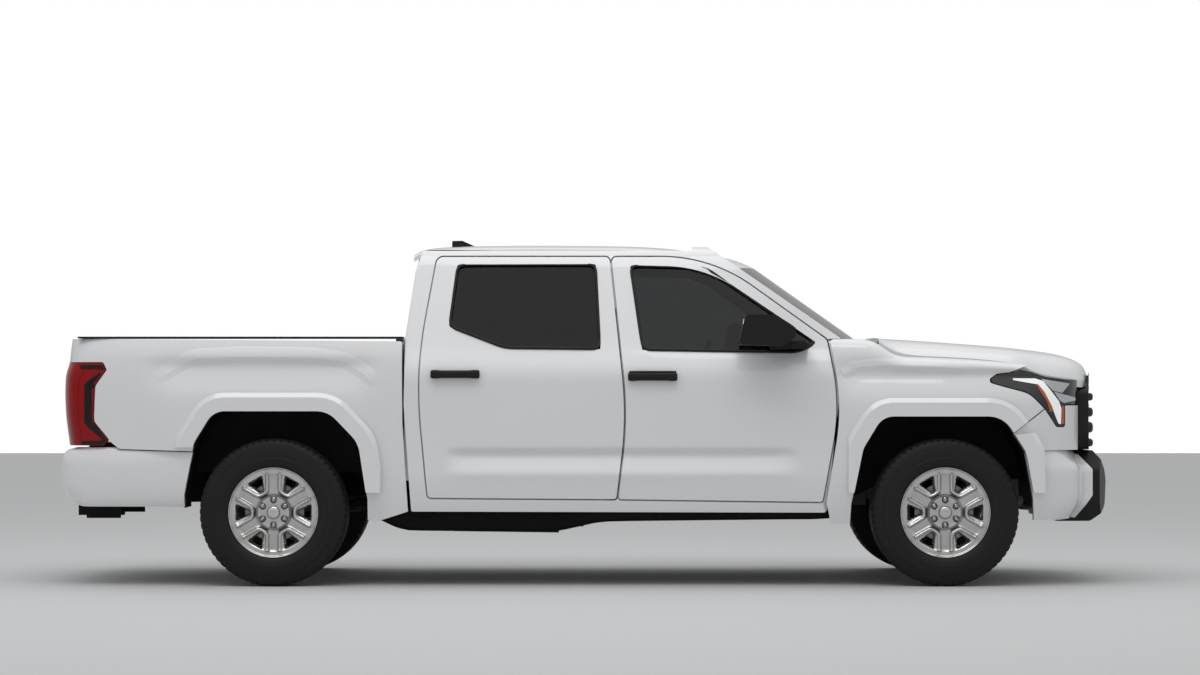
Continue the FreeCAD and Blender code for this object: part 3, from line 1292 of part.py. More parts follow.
def mirror(panel):
    """Right door mirror on its arm."""
    corners = side_points([(0.690, 0.693, 0.01), (0.700, 0.780, 0.015), (0.745, 0.778, 0.02), (0.772, 0.745, 0.02),
                           (0.775, 0.715, 0.02), (0.755, 0.690, 0.02)])
    head = side_prism(corners, -out(1.185), -out(0.99))
    arm = side_prism(side_points([(0.740, 0.680, 0.005), (0.735, 0.705, 0.01), (0.790, 0.705, 0.01),
                                  (0.800, 0.685, 0.005)]), -out(1.02), -out(0.90))
    return fused([head, arm]).cut(panel)


def roof_antenna(roof):
    """Fin antenna at the rear of the roof."""
    x = along(0.254)
    fin = [(x, up(0.995), 0), (x, up(1.0175), 8.0), (x + 60.0, up(1.0180), 20.0), (x + 145.0, up(0.998), 0)]
    return side_prism(fin, -14.0, 14.0).cut(roof.extrude(V(0, 0, -roof_thickness)))


# Build
def save(name, shape):
    """Write one piece and print what it is."""
    if not shape.isValid():
        print(name, "is not valid")
    print(f"{name:24s} solids {len(shape.Solids)} faces {len(shape.Faces)} volume {shape.Volume / 1e6:.1f} "
          f"box {shape.BoundBox.XMin:.0f} {shape.BoundBox.XMax:.0f} {shape.BoundBox.YMin:.0f} "
          f"{shape.BoundBox.YMax:.0f} {shape.BoundBox.ZMin:.0f} {shape.BoundBox.ZMax:.0f}")
    shape.exportStep(f"parts/{name}.step")


def main():
    os.makedirs("parts", exist_ok=True)
    cab = cab_face()
    nose = nose_face()
    bed = bed_face()
    roof = roof_face()
    save("roof_panel", roof.extrude(V(0, 0, -roof_thickness)))
    side = cab_side(cab, roof, nose)
    save("cab_sides", both_sides(side))
    save("cab_back", cab_back(side, roof))
    save("cab_glass", Part.makeCompound([windscreen(side, roof), rear_glass()]))
    front = door(front_door, front_window, front_handle_share, cab, door_lead_inset)
    rear = door(rear_door, rear_window, rear_handle_share, cab, door_lead_inset)
    pieces = (("front_door", front), ("rear_door", rear), ("front_door_glass", door_glass(front_window, cab)),
              ("rear_door_glass", door_glass(rear_window, cab)), ("mirror", mirror(front)))
    for name, piece in pieces:
        save(name + "_right", piece)
        save(name + "_left", mirrored(piece))
    hood_room = hood_space()
    fender = front_fender(nose, hood_room)
    save("front_fenders", both_sides(fender))
    save("hood", hood_solid())
    save("headlamps", both_sides(headlamp(nose, hood_room)))
    save("grille", grille(hood_room))
    save("bumper_middle", valance())
    bumper = front_bumper(nose)
    save("front_bumper", both_sides(bumper))
    half_bumper = rear_bumper()
    save("rear_bumper", fused([half_bumper, mirrored(half_bumper)]))
    lip = flare(side_points(rear_arch_shares), 0.998, -0.250, 0.160)
    lip = lip.cut(block(-overall_length, rear_axle_x, -body_width, 0, 0, up(bumper_top_share)))
    bed_wall = bed_side(bed).fuse(lip)
    save("bed_sides", both_sides(bed_wall))
    save("tail_lamps", both_sides(tail_lamp(bed)))
    save("tailgate", tailgate())
    save("bed_floor", bed_floor())
    save("bed_rail_caps", both_sides(rail_cap()))
    for place, x in (("front", front_axle_x), ("rear", rear_axle_x)):
        for name, side_sign in (("right", -1), ("left", 1)):
            save(f"tyre_{place}_{name}", tyre(x, side_sign))
            save(f"rim_{place}_{name}", rim(x, side_sign))
    save("knuckle_right", knuckle(-1))
    save("knuckle_left", knuckle(1))
    save("ladder_frame", ladder_frame())
    save("hitch_receiver", hitch_receiver())
    save("rear_axle", rear_axle())
    save("rear_suspension", rear_suspension())
    save("drive_shaft", drive_shaft())
    save("front_suspension", front_suspension())
    save("exhaust", exhaust())
    save("fuel_tank", fuel_tank())
    save("spare_wheel", spare_wheel())
    save("engine_bay", engine_bay(nose, fender))
    save("engine_block", engine_block())
    save("cowl", cowl())
    save("cab_floor", cab_floor(side))
    save("dashboard", dashboard())
    save("front_seats", front_seats())
    save("rear_bench", rear_bench())
    save("steering_wheel", steering_wheel())
    save("roof_antenna", roof_antenna(roof))


main()
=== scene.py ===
"""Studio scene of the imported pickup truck: wheels, lamps, trim, seats, finishes, lights and camera."""

import json
import logging
import math
from dataclasses import dataclass, field
from enum import Enum
from typing import Callable, Dict, List, Optional, Sequence, Tuple

import bmesh
import bpy
import numpy as np
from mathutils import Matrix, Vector
from mathutils.bvhtree import BVHTree
from mathutils.geometry import delaunay_2d_cdt


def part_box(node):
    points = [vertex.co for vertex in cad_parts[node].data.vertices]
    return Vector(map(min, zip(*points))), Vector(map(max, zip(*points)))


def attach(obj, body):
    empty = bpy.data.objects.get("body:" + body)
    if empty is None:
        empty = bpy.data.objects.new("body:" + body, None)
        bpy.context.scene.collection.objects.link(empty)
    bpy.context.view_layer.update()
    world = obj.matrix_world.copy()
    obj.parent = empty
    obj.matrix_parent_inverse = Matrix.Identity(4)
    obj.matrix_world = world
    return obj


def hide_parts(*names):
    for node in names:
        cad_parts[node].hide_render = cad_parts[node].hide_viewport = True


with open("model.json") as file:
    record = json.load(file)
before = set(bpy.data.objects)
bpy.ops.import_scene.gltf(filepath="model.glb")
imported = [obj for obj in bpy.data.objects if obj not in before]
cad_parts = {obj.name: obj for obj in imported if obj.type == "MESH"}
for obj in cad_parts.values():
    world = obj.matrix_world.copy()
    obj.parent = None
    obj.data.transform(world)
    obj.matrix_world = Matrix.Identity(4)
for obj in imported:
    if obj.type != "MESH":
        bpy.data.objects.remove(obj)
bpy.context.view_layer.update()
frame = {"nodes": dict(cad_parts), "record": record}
NODES: Dict[str, bpy.types.Object] = frame["nodes"]
MM = 0.001
WELD = MM / 50  # points closer than this become one
RAY_START = -2.0  # beside the truck, where its skin is felt for
SIDE_START = -3.0  # beside the truck, where a plate starts
REAR_START = -4.0  # behind the truck, where a plate starts
SKIN_GUESS = -0.95  # side of the truck where no surface is met
SIDES = {-1: "right", 1: "left"}  # sign of y on each side
Outline = Sequence[Tuple[float, float]]

logging.basicConfig(level=logging.INFO, format="%(message)s")
log = logging.getLogger("truck")


# Finishes
class Grain(Enum):
    """Small relief that a surface carries."""

    PEEL = "soft ripple of sprayed lacquer"
    STIPPLE = "moulded leather-like stipple"
    CAST = "rough sand-cast skin"
    WEAVE = "crossed threads"
    PILE = "short tufts"


@dataclass(frozen=True)
class Finish:
    """A real material and the process that made its surface.

    Attributes:
        name: what the material is.
        colour: base colour as sRGB hex.
        rough: mean roughness.
        grain: kind of relief.
        grain_mm: size of one grain.
        relief_mm: height of the relief.
        tone: share by which the colour drifts.
        metal: metallic share.
        coat: clear coat share.
        clear: transmitted share.
        sheen: fuzz share.
        glow: light of its own.
        wear: share by which the roughness drifts.
        painted_recess_shade: share by which the colour of narrow recesses is darkened: painted shade.
        shine: level of the mirror reflection, 0.5 is plain plastic.
    """

    name: str
    colour: str
    rough: float
    grain: Grain = Grain.STIPPLE
    grain_mm: float = 1.5
    relief_mm: float = 0.05
    metal: float = 0.0
    coat: float = 0.0
    clear: float = 0.0
    sheen: float = 0.0
    glow: float = 0.0
    tone: float = 0.05
    wear: float = 0.08
    # painted shade: share by which narrow recesses are darkened in colour
    painted_recess_shade: float = 0.0
    shine: float = 0.5


# Sprayed white with clear coat: bright even body with a soft sheen and sharp edge lights.
PAINT = Finish("white_clear_coated_steel", "e3e4e6", 0.38, Grain.PEEL, 1.2, 0.004, coat=0.9, tone=0.012, wear=0.04)
# Thin inner coat: same white without depth.
INNER_PAINT = Finish("white_primer_coated_steel", "c9cacc", 0.55, Grain.PEEL, 1.5, 0.01, tone=0.04, wear=0.10)
# Green-grey float glass: dark from outside, cabin faintly seen.
GLASS = Finish("tinted_float_glass", "6b6e70", 0.015, Grain.PEEL, 60, 0.002, clear=1.0, tone=0.01, wear=0.01)
# Body-dyed glass: nearly opaque.
PRIVACY = Finish("privacy_dyed_glass", "232425", 0.02, Grain.PEEL, 60, 0.002, clear=1.0, tone=0.01, wear=0.01)
# Mould-grained polypropylene: dark satin that takes long soft lights.
TRIM = Finish("moulded_black_polypropylene", "141415", 0.46, Grain.STIPPLE, 0.9, 0.04, tone=0.10, wear=0.12, shine=0.3)
# Polished black acrylic: deep black with clean reflections.
GLOSS_BLACK = Finish("gloss_black_acrylic", "0a0a0b", 0.10, Grain.PEEL, 3.0, 0.002, coat=0.2, tone=0.03, wear=0.03,
                     shine=0.3)
# Vulcanised rubber: charcoal that greys with dust.
RUBBER = Finish("vulcanised_tyre_rubber", "171718", 0.55, Grain.STIPPLE, 1.1, 0.06, tone=0.14, wear=0.14, shine=0.28)
# Silver lacquer on stamped steel: warm grey with bright ridge lights, and painted shade darkening its narrow recesses.
RIM = Finish("silver_lacquered_steel", "d0d0ce", 0.24, Grain.PEEL, 1.0, 0.006, metal=0.88, coat=0.6, tone=0.05,
             wear=0.07, painted_recess_shade=0.80)
# Turned cast iron with a polished pad track.
IRON = Finish("turned_cast_iron", "9a9a98", 0.42, Grain.CAST, 1.2, 0.04, metal=0.7, tone=0.12, wear=0.18)
# Chromed steel of the nuts, with painted shade darkening its narrow recesses.
CHROME = Finish("chromed_steel", "c9cacc", 0.16, Grain.PEEL, 2.0, 0.003, metal=1.0, tone=0.03, wear=0.05, painted_recess_shade=0.80)
# Sand-cast alloy: dull and pitted.
CAST = Finish("sand_cast_alloy", "5c5d5d", 0.62, Grain.CAST, 2.2, 0.20, metal=0.7, tone=0.16, wear=0.16)
# Wax-dipped frame steel: near black with a low sheen.
FRAME = Finish("wax_coated_black_steel", "0e0e0f", 0.62, Grain.CAST, 2.5, 0.12, tone=0.15, wear=0.15, shine=0.2)
# Rolled stainless tube: heat-dulled grey.
STEEL = Finish("rolled_stainless_steel", "5e5c59", 0.45, Grain.CAST, 1.6, 0.05, metal=0.85, tone=0.15, wear=0.18)
# Smoked polycarbonate over a dark housing: glassy and nearly black.
SMOKED = Finish("smoked_lamp_polycarbonate", "121315", 0.08, Grain.PEEL, 5.0, 0.002, coat=1.0, tone=0.02, wear=0.02)
# Vacuum-metallised reflector: soft silver with facet lights.
SILVER = Finish("metallised_reflector", "d4d6d9", 0.20, Grain.PEEL, 4.0, 0.010, metal=0.75, coat=1.0, tone=0.04,
                wear=0.06)
# Frosted light guide: even white.
GUIDE = Finish("frosted_light_guide", "f4f6f8", 0.22, Grain.PEEL, 3.0, 0.004, coat=1.0, glow=0.22, tone=0.01, wear=0.04)
# Amber acrylic: warm side marker.
AMBER = Finish("amber_acrylic", "c0542a", 0.14, Grain.PEEL, 3.0, 0.010, coat=1.0, tone=0.08, wear=0.05)
# Red acrylic lens: deep red with a glassy face.
RED = Finish("red_acrylic", "8c0206", 0.12, Grain.PEEL, 3.0, 0.006, coat=0.15, glow=0.04, shine=0.25, tone=0.10,
             wear=0.05)
# Needled carpet: no shine.
CARPET = Finish("needled_carpet", "262627", 0.95, Grain.PILE, 1.8, 0.6, sheen=0.3, tone=0.20, wear=0.04)
# Grained vinyl of the cabin.
VINYL = Finish("grained_cabin_vinyl", "29292b", 0.60, Grain.STIPPLE, 1.4, 0.10, tone=0.08, wear=0.10)
# Woven polyester on foam: soft dark grey.
FABRIC = Finish("woven_polyester", "3c3c3f", 0.92, Grain.WEAVE, 1.3, 0.25, sheen=0.5, tone=0.12, wear=0.04)
# Silvered mirror plate.
MIRROR = Finish("silvered_mirror_glass", "dfe2e4", 0.03, Grain.PEEL, 40.0, 0.002, metal=1.0, tone=0.01, wear=0.01)
# Blank painted aluminium plate.
PLATE = Finish("blank_painted_aluminium", "d9dadb", 0.40, Grain.PEEL, 1.5, 0.01, coat=0.3, tone=0.03, wear=0.06)
# Trowelled studio floor paint.
FLOOR = Finish("matt_studio_floor", "c6c7c8", 0.85, Grain.PEEL, 6.0, 0.05, tone=0.015, wear=0.05)

SLOT_FINISHES = {
    "paint": PAINT, "paint_inside": INNER_PAINT, "glass": GLASS, "privacy_glass": PRIVACY, "black_trim": TRIM,
    "tyre": RUBBER, "rim_silver": RIM, "cast_metal": CAST, "frame_black": FRAME, "bare_steel": STEEL,
    "lamp_clear": SMOKED, "lamp_red": RED, "carpet": CARPET, "interior_plastic": VINYL, "seat_fabric": FABRIC,
}


def linear(colour: str) -> Tuple[float, float, float, float]:
    """Turns an sRGB hex colour into linear light.

    Args:
        colour: six hex digits.

    Returns:
        Red, green, blue and full alpha.
    """
    parts = np.array([int(colour[i:i + 2], 16) for i in (0, 2, 4)]) / 255
    light = np.where(parts <= 0.04045, parts / 12.92, ((parts + 0.055) / 1.055) ** 2.4)
    return (*light.tolist(), 1.0)


def node(tree: bpy.types.NodeTree, kind: str, settings: Optional[dict] = None,
         links: Optional[dict] = None) -> bpy.types.Node:
    """Adds a node with its values and its incoming links.

    Args:
        tree: node tree that gets the node.
        kind: Blender's node type.
        settings: values by socket or attribute name.
        links: output sockets by input name.

    Returns:
        The new node.
    """
    item = tree.nodes.new(kind)
    for key, value in (settings or {}).items():
        if key in item.inputs:
            item.inputs[key].default_value = value
        else:
            setattr(item, key, value)
    for key, source in (links or {}).items():
        tree.links.new(source, item.inputs[key])
    return item


class Palette:
    """Materials made from finishes, each once.

    The colour and the roughness drift with a wide noise. A finish with painted recess shade darkens its colour where
    its surface is enclosed
    within a short reach: painted shade in narrow recesses, found by ambient occlusion.
    """

    drift = {"Scale": 7.0, "Detail": 4.0}
    fine_detail = 1.0
    cast_detail = 5.0
    weave_share = 6
    weave_bend = 0.4
    # Painted shade: within this reach, ambient occlusion darkens the colour of narrow recesses towards near black.
    recess = {"Distance": 0.035, "samples": 8}
    recess_from, recess_to = 0.45, 1.0
    recess_shade_colour = (0.004, 0.004, 0.004, 1)
    coat_rough = 0.04
    plain_ior = 1.5

    def __init__(self) -> None:
        """Starts empty."""
        self.made: Dict[str, bpy.types.Material] = {}

    def relief(self, tree: bpy.types.NodeTree, finish: Finish, place: bpy.types.NodeSocket) -> bpy.types.NodeSocket:
        """Height pattern of a finish, with its scale taken from real millimetres.

        Args:
            tree: node tree.
            finish: the finish.
            place: object coordinates.

        Returns:
            Socket with the height.
        """
        scale = 1 / (finish.grain_mm * MM)
        if finish.grain is Grain.WEAVE:
            waves = [node(tree, "ShaderNodeTexWave", {"Scale": scale / self.weave_share, "bands_direction": axis,
                                                  "Distortion": self.weave_bend},
                          {"Vector": place}).outputs["Fac"] for axis in ("X", "Y", "Z")]
            pair = node(tree, "ShaderNodeMath", {"operation": "MULTIPLY"}, {0: waves[0], 1: waves[2]}).outputs[0]
            return node(tree, "ShaderNodeMath", {"operation": "ADD"}, {0: pair, 1: waves[1]}).outputs[0]
        if finish.grain in (Grain.STIPPLE, Grain.PILE):
            return node(tree, "ShaderNodeTexVoronoi", {"Scale": scale, "feature": "SMOOTH_F1"},
                        {"Vector": place}).outputs["Distance"]
        detail = self.cast_detail if finish.grain is Grain.CAST else self.fine_detail
        return node(tree, "ShaderNodeTexNoise", {"Scale": scale, "Detail": detail}, {"Vector": place}).outputs["Fac"]

    def of(self, finish: Finish) -> bpy.types.Material:
        """Material of a finish.

        Args:
            finish: the finish.

        Returns:
            Its material.
        """
        if finish.name in self.made:
            return self.made[finish.name]
        material = bpy.data.materials.new(finish.name)
        material.use_nodes = True
        tree = material.node_tree
        tree.nodes.clear()
        place = node(tree, "ShaderNodeTexCoord").outputs["Object"]
        drift = node(tree, "ShaderNodeTexNoise", self.drift, {"Vector": place}).outputs["Fac"]
        base = linear(finish.colour)
        low = tuple(max(part * (1 - finish.tone), 0) for part in base[:3]) + (1.0,)
        high = tuple(min(part * (1 + finish.tone), 1) for part in base[:3]) + (1.0,)
        mix = node(tree, "ShaderNodeMix", {"data_type": "RGBA", "A": low, "B": high}, {"Factor": drift})
        rough = node(tree, "ShaderNodeMapRange", {"To Min": max(finish.rough * (1 - finish.wear), 0),
                                                 "To Max": min(finish.rough * (1 + finish.wear), 1)}, {"Value": drift})
        colour = mix.outputs["Result"]
        # Painted shade: narrow recesses found by ambient occlusion get a darker colour.
        if finish.painted_recess_shade:
            recess = node(tree, "ShaderNodeAmbientOcclusion", self.recess)
            depth = node(tree, "ShaderNodeMapRange", {"From Min": self.recess_from, "From Max": self.recess_to,
                                                      "To Min": finish.painted_recess_shade, "To Max": 0.0},
                         {"Value": recess.outputs["AO"]})
            colour = node(tree, "ShaderNodeMix", {"data_type": "RGBA", "B": self.recess_shade_colour},
                          {"Factor": depth.outputs[0], "A": colour}).outputs["Result"]
        height = self.relief(tree, finish, place)
        bump = node(tree, "ShaderNodeBump", {"Strength": 1.0, "Distance": finish.relief_mm * MM}, {"Height": height})
        values = {"Metallic": finish.metal, "Coat Weight": finish.coat, "Coat Roughness": self.coat_rough,
                  "Transmission Weight": finish.clear, "Sheen Weight": finish.sheen, "IOR": self.plain_ior,
                  "Specular IOR Level": finish.shine}
        if finish.glow:
            values.update({"Emission Color": base, "Emission Strength": finish.glow})
        shader = node(tree, "ShaderNodeBsdfPrincipled", values,
                      {"Base Color": colour, "Roughness": rough.outputs[0], "Normal": bump.outputs[0]})
        node(tree, "ShaderNodeOutputMaterial", {}, {"Surface": shader.outputs[0]})
        self.made[finish.name] = material
        return material


PALETTE = Palette()


# Shapes
def eased(share: np.ndarray) -> np.ndarray:
    """Smooth step from 0 to 1: three times the square less twice the cube.

    Args:
        share: values from 0 to 1.

    Returns:
        The eased values.
    """
    return share * share * (3 - 2 * share)


def grid_faces(rows: int, columns: int, close_rows: bool, close_columns: bool) -> np.ndarray:
    """Quads of a grid whose point (i, j) has number i * columns + j.

    Args:
        rows: number of rows.
        columns: number of columns.
        close_rows: whether the last row meets the first.
        close_columns: whether the last column meets the first.

    Returns:
        Array of quads.
    """
    i, j = np.meshgrid(np.arange(rows if close_rows else rows - 1),
                       np.arange(columns if close_columns else columns - 1), indexing="ij")
    after_i, after_j = (i + 1) % rows, (j + 1) % columns
    quads = np.stack([i * columns + j, after_i * columns + j, after_i * columns + after_j, i * columns + after_j], -1)
    return quads.reshape(-1, 4)


@dataclass
class Shape:
    """Points and faces gathered for one piece."""

    points: List[np.ndarray] = field(default_factory=list)
    faces: List[List[int]] = field(default_factory=list)
    count: int = 0

    def add(self, points: np.ndarray, faces: List[List[int]]) -> "Shape":
        """Adds loose points with their faces.

        Args:
            points: array of points.
            faces: faces by the numbers of these points.

        Returns:
            The same shape.
        """
        self.points.append(points.reshape(-1, 3))
        self.faces += [[int(k) + self.count for k in face] for face in faces]
        self.count += len(points.reshape(-1, 3))
        return self

    def grid(self, points: np.ndarray, close_rows: bool = False, close_columns: bool = False,
             caps: bool = False, keep: Optional[np.ndarray] = None) -> "Shape":
        """Adds a two-parameter grid.

        Args:
            points: array of rows, columns and coordinates.
            close_rows: whether the rows form a ring.
            close_columns: whether the columns form a ring.
            caps: whether the first and last rows are closed with a face.
            keep: mask of points; faces with a point outside it are left out.

        Returns:
            The same shape.
        """
        rows, columns = points.shape[:2]
        quads = grid_faces(rows, columns, close_rows, close_columns)
        if keep is not None:
            quads = quads[keep.reshape(-1)[quads].all(1)]
        faces = quads.tolist()
        if caps:
            faces.append(list(range(columns)))
            faces.append(list(range((rows - 1) * columns, rows * columns))[::-1])
        return self.add(points, faces)

    def mirrored(self) -> "Shape":
        """Adds the same shape on the other side of the truck.

        Returns:
            The same shape.
        """
        points = np.concatenate(self.points) * np.array([1, -1, 1])
        return self.add(points, [face[::-1] for face in self.faces])

    def build(self, name: str, finish: Finish, body: str, slot: str, smooth: float = 35.0,
              solid: float = 0.0, bevel: float = 0.0) -> bpy.types.Object:
        """Makes the piece, with faces outward, and puts it on its body.

        Args:
            name: name of the piece.
            finish: its finish.
            body: CAD body that it rides on.
            slot: record slot of its finish; not used.
            smooth: edges sharper than this many degrees stay sharp.
            solid: thickness given to a sheet, in metres.
            bevel: width of the rounded edges, in metres.

        Returns:
            The new object.
        """
        mesh = bpy.data.meshes.new(name)
        mesh.from_pydata(np.concatenate(self.points).tolist(), [], self.faces)
        mesh.validate()
        piece = bpy.data.objects.new(name, mesh)
        bpy.context.scene.collection.objects.link(piece)
        work = bmesh.new()
        work.from_mesh(mesh)
        bmesh.ops.remove_doubles(work, verts=work.verts, dist=WELD)
        bmesh.ops.recalc_face_normals(work, faces=work.faces)
        work.to_mesh(mesh)
        work.free()
        mesh.shade_smooth()
        mesh.set_sharp_from_angle(angle=math.radians(smooth))
        mesh.materials.append(PALETTE.of(finish))
        if solid:
            thick = piece.modifiers.new("thickness", "SOLIDIFY")
            thick.thickness, thick.offset = solid, -1.0
        if bevel:
            edge = piece.modifiers.new("edges", "BEVEL")
            edge.width, edge.segments, edge.limit_method = bevel, 2, "ANGLE"
        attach(piece, body)
        log.info("%s: %d faces on %s", name, len(mesh.polygons), body)
        return piece


def revolved(profile: Outline, hub: Vector, side: int, count: int) -> np.ndarray:
    """Rings round an axle: each profile point (r, w) turns about the hub, w outward along y.

    Args:
        profile: points of radius and outward place.
        hub: middle of the axle line.
        side: -1 on the right, 1 on the left.
        count: points round.

    Returns:
        Array of profile, angle and coordinates.
    """
    radius, out = np.array(profile, float).T
    angle = np.linspace(0, 2 * np.pi, count, endpoint=False)
    flat = np.ones(count)
    return np.stack([hub.x + np.outer(radius, np.cos(angle)), hub.y + side * np.outer(out, flat),
                     hub.z + np.outer(radius, np.sin(angle))], -1)


def swept(path: Sequence[Sequence[float]], sizes: Sequence[Tuple[float, float]], up: Sequence[float],
          count: int = 16, square: float = 3.0, steps: int = 10) -> np.ndarray:
    """Bar along a path: at each point the section is a superellipse with half sizes across and up.

    The path's points are joined by straight runs, whose corners a running mean of five points rounds.

    Args:
        path: points that the bar follows.
        sizes: half width and half height at each path point.
        up: direction of the section's height.
        count: points round the section.
        square: 2 gives an ellipse, more gives flatter sides.
        steps: points between two path points.

    Returns:
        Array of rows along the bar, section points and coordinates.
    """
    path, sizes = np.array(path, float), np.array(sizes, float)
    share = np.linspace(0, len(path) - 1, (len(path) - 1) * steps + 1)
    knots = np.arange(len(path))
    line = np.stack([np.interp(share, knots, path[:, k]) for k in range(3)], -1)
    weights = np.array([1, 2, 3, 2, 1]) / 9
    if len(path) > 2 and steps > 2:
        for k in range(3):
            line[2:-2, k] = np.convolve(line[:, k], weights, "valid")
    size = np.stack([np.interp(share, knots, sizes[:, k]) for k in range(2)], -1)
    along = np.gradient(line, axis=0)
    along /= np.linalg.norm(along, axis=1, keepdims=True)
    across = np.cross(along, np.array(up, float))
    across /= np.linalg.norm(across, axis=1, keepdims=True)
    rise = np.cross(across, along)
    turn = np.linspace(0, 2 * np.pi, count, endpoint=False)
    a = np.sign(np.cos(turn)) * np.abs(np.cos(turn)) ** (2 / square)
    b = np.sign(np.sin(turn)) * np.abs(np.sin(turn)) ** (2 / square)
    return (line[:, None] + across[:, None] * (size[:, :1] * a)[..., None]
            + rise[:, None] * (size[:, 1:] * b)[..., None])


def cushion(low: Sequence[float], high: Sequence[float], lean: float, crown: float, channels: Sequence[float],
            face: int, count: int = 40) -> np.ndarray:
    """Crowned pad: a superellipsoid whose sides pull in between its corners, with sewn channels across.

    The point at angles (u, v) is the box middle plus half sizes times signed powers of cosine and sine; the
    sewn channels lower the surface by a narrow bell at each share of the width.

    Args:
        low: lowest corner.
        high: highest corner.
        lean: how far the top leans back.
        crown: roundness, 2 is an ellipsoid and more is boxier.
        channels: shares of the half width that carry a seam.
        face: 0 where the front faces forward, 2 where it faces up.
        count: points along each parameter.

    Returns:
        Array of rows, columns and coordinates.
    """
    pulled_in, seam_width, seam_depth = 0.035, 0.03, 0.10
    low, high = np.array(low, float), np.array(high, float)
    middle, half = (low + high) / 2, (high - low) / 2
    u = np.linspace(-np.pi / 2, np.pi / 2, count)[:, None]
    v = np.linspace(-np.pi, np.pi, count * 2, endpoint=False)[None, :]

    def power(value: np.ndarray) -> np.ndarray:
        """Signed power that sets the roundness."""
        return np.sign(value) * np.abs(value) ** (2 / crown)

    unit = np.stack([power(np.cos(u)) * power(np.cos(v)), power(np.cos(u)) * power(np.sin(v)),
                     power(np.sin(u)) * np.ones_like(v)], -1)
    waist = 1 - pulled_in * np.cos(unit[..., 2] * np.pi / 2) * np.cos(unit[..., 0] * np.pi / 2)
    unit[..., 1] *= waist
    sewn = sum(np.exp(-((unit[..., 1] - share) / seam_width) ** 2) for share in channels) if channels else 0
    unit[..., face] *= 1 - seam_depth * sewn
    points = middle + unit * half
    points[..., 0] -= lean * (points[..., 2] - low[2]) / (high[2] - low[2])
    return points


def target_tree(names: Sequence[str]) -> BVHTree:
    """Search tree over CAD nodes.

    Args:
        names: the nodes.

    Returns:
        The tree.
    """
    points, faces = [], []
    for name in names:
        mesh = NODES[name].data
        start = len(points)
        points += [v.co.copy() for v in mesh.vertices]
        faces += [[k + start for k in face.vertices] for face in mesh.polygons]
    return BVHTree.FromPolygons(points, faces)


def surface_at(tree: BVHTree, x: float, z: float) -> float:
    """Right side of the truck at a place of its side view.

    Args:
        tree: search tree.
        x: place along the truck.
        z: height.

    Returns:
        The y coordinate of the first surface met.
    """
    hit = tree.ray_cast(Vector((x, RAY_START, z)), Vector((0, 1, 0)))[0]
    return hit.y if hit else SKIN_GUESS


class View(Enum):
    """Side from which a plate is laid on the body, named by the way that looks at it."""

    SIDE = (0, 1, 0)
    REAR = (1, 0, 0)

    def start(self, across: float, height: float) -> Vector:
        """Place outside the truck from which a point is carried to the body.

        Args:
            across: place in the view's width.
            height: place in the view's height.

        Returns:
            The place.
        """
        return Vector((across, SIDE_START, height) if self is View.SIDE else (REAR_START, across, height))


def laid(outline: Outline, targets: Sequence[str], stand: float, depth: float, view: View = View.SIDE,
         spacing: float = 0.012, mirror: bool = True) -> Shape:
    """Plate with a given outline, laid on the body's surface.

    The outline is filled with a lattice, each point is carried along the view's direction to the first
    surface, the front stands off it by a named height, and the back lies a depth below. The stand goes along
    a blend of the surface's normal and the view's direction.

    Args:
        outline: corners in side view (x, z), or in end view (y, z).
        targets: CAD nodes that carry the plate.
        stand: height over the surface.
        depth: thickness down into the surface.
        view: side that the plate is seen from.
        spacing: distance of the lattice points.
        mirror: whether the other side gets the same plate.

    Returns:
        The shape.
    """
    clear_share, normal_share = 0.45, 0.35
    corners = np.array(outline, float)
    edge = []
    for start, end in zip(corners, np.roll(corners, -1, 0)):
        steps = max(int(np.linalg.norm(end - start) / spacing), 1)
        edge.append(start + (end - start) * (np.arange(steps) / steps)[:, None])
    edge = np.concatenate(edge)
    low, high = corners.min(0), corners.max(0)
    lattice = np.stack(np.meshgrid(np.arange(low[0] + spacing / 2, high[0], spacing),
                                   np.arange(low[1] + spacing / 2, high[1], spacing)), -1).reshape(-1, 2)
    near = np.abs(lattice[:, None] - edge[None]).max(-1).min(1) > spacing * clear_share
    lattice = lattice[near]
    places = [Vector(p) for p in np.concatenate([edge, lattice])]
    ring = [(k, (k + 1) % len(edge)) for k in range(len(edge))]
    filled = delaunay_2d_cdt(places, ring, [], 1, 1e-6)
    flat, triangles = np.array([tuple(p) for p in filled[0]]), [list(face) for face in filled[2]]
    tree = target_tree(targets)
    hits = [tree.ray_cast(view.start(a, z), Vector(view.value)) for a, z in flat]
    found = np.array([hit[0] is not None for hit in hits])
    face = np.array([tuple(hit[0]) if hit[0] is not None else (0, 0, 0) for hit in hits])
    normal = np.array([tuple(hit[1]) if hit[0] is not None else (0, 0, 0) for hit in hits])
    back_way = -np.array(view.value, float)
    normal *= np.where((normal @ back_way) < 0, -1, 1)[:, None]
    smooth = normal * normal_share + back_way * (1 - normal_share)
    top, bottom = face + smooth * stand, face - back_way * depth
    triangles = [t for t in triangles if found[t].all()]
    used = {}
    for t in triangles:
        for a, b in zip(t, t[1:] + t[:1]):
            used[(a, b)] = used.get((a, b), 0) + 1
    total = len(flat)  # the back's points are numbered after the front's
    walls = [[a, b, b + total, a + total] for a, b in used if (b, a) not in used]
    shape = Shape().add(np.concatenate([top, bottom]),
                        triangles + [[k + total for k in t[::-1]] for t in triangles] + walls)
    keep = np.zeros(total * 2, bool)  # points that no face uses are left out
    for group in shape.faces:
        keep[group] = True
    number = np.cumsum(keep) - 1
    trimmed = Shape().add(np.concatenate(shape.points)[keep], [[int(number[k]) for k in f] for f in shape.faces])
    return trimmed.mirrored() if mirror else trimmed


# Carried-over nodes
# Door handles in side view: rear end, front end, top and bottom.
HANDLES: Dict[str, Tuple[float, float, float, float]] = {
    "rear_door": (-0.832, -0.572, 1.199, 1.150), "front_door": (0.254, 0.515, 1.187, 1.134)}


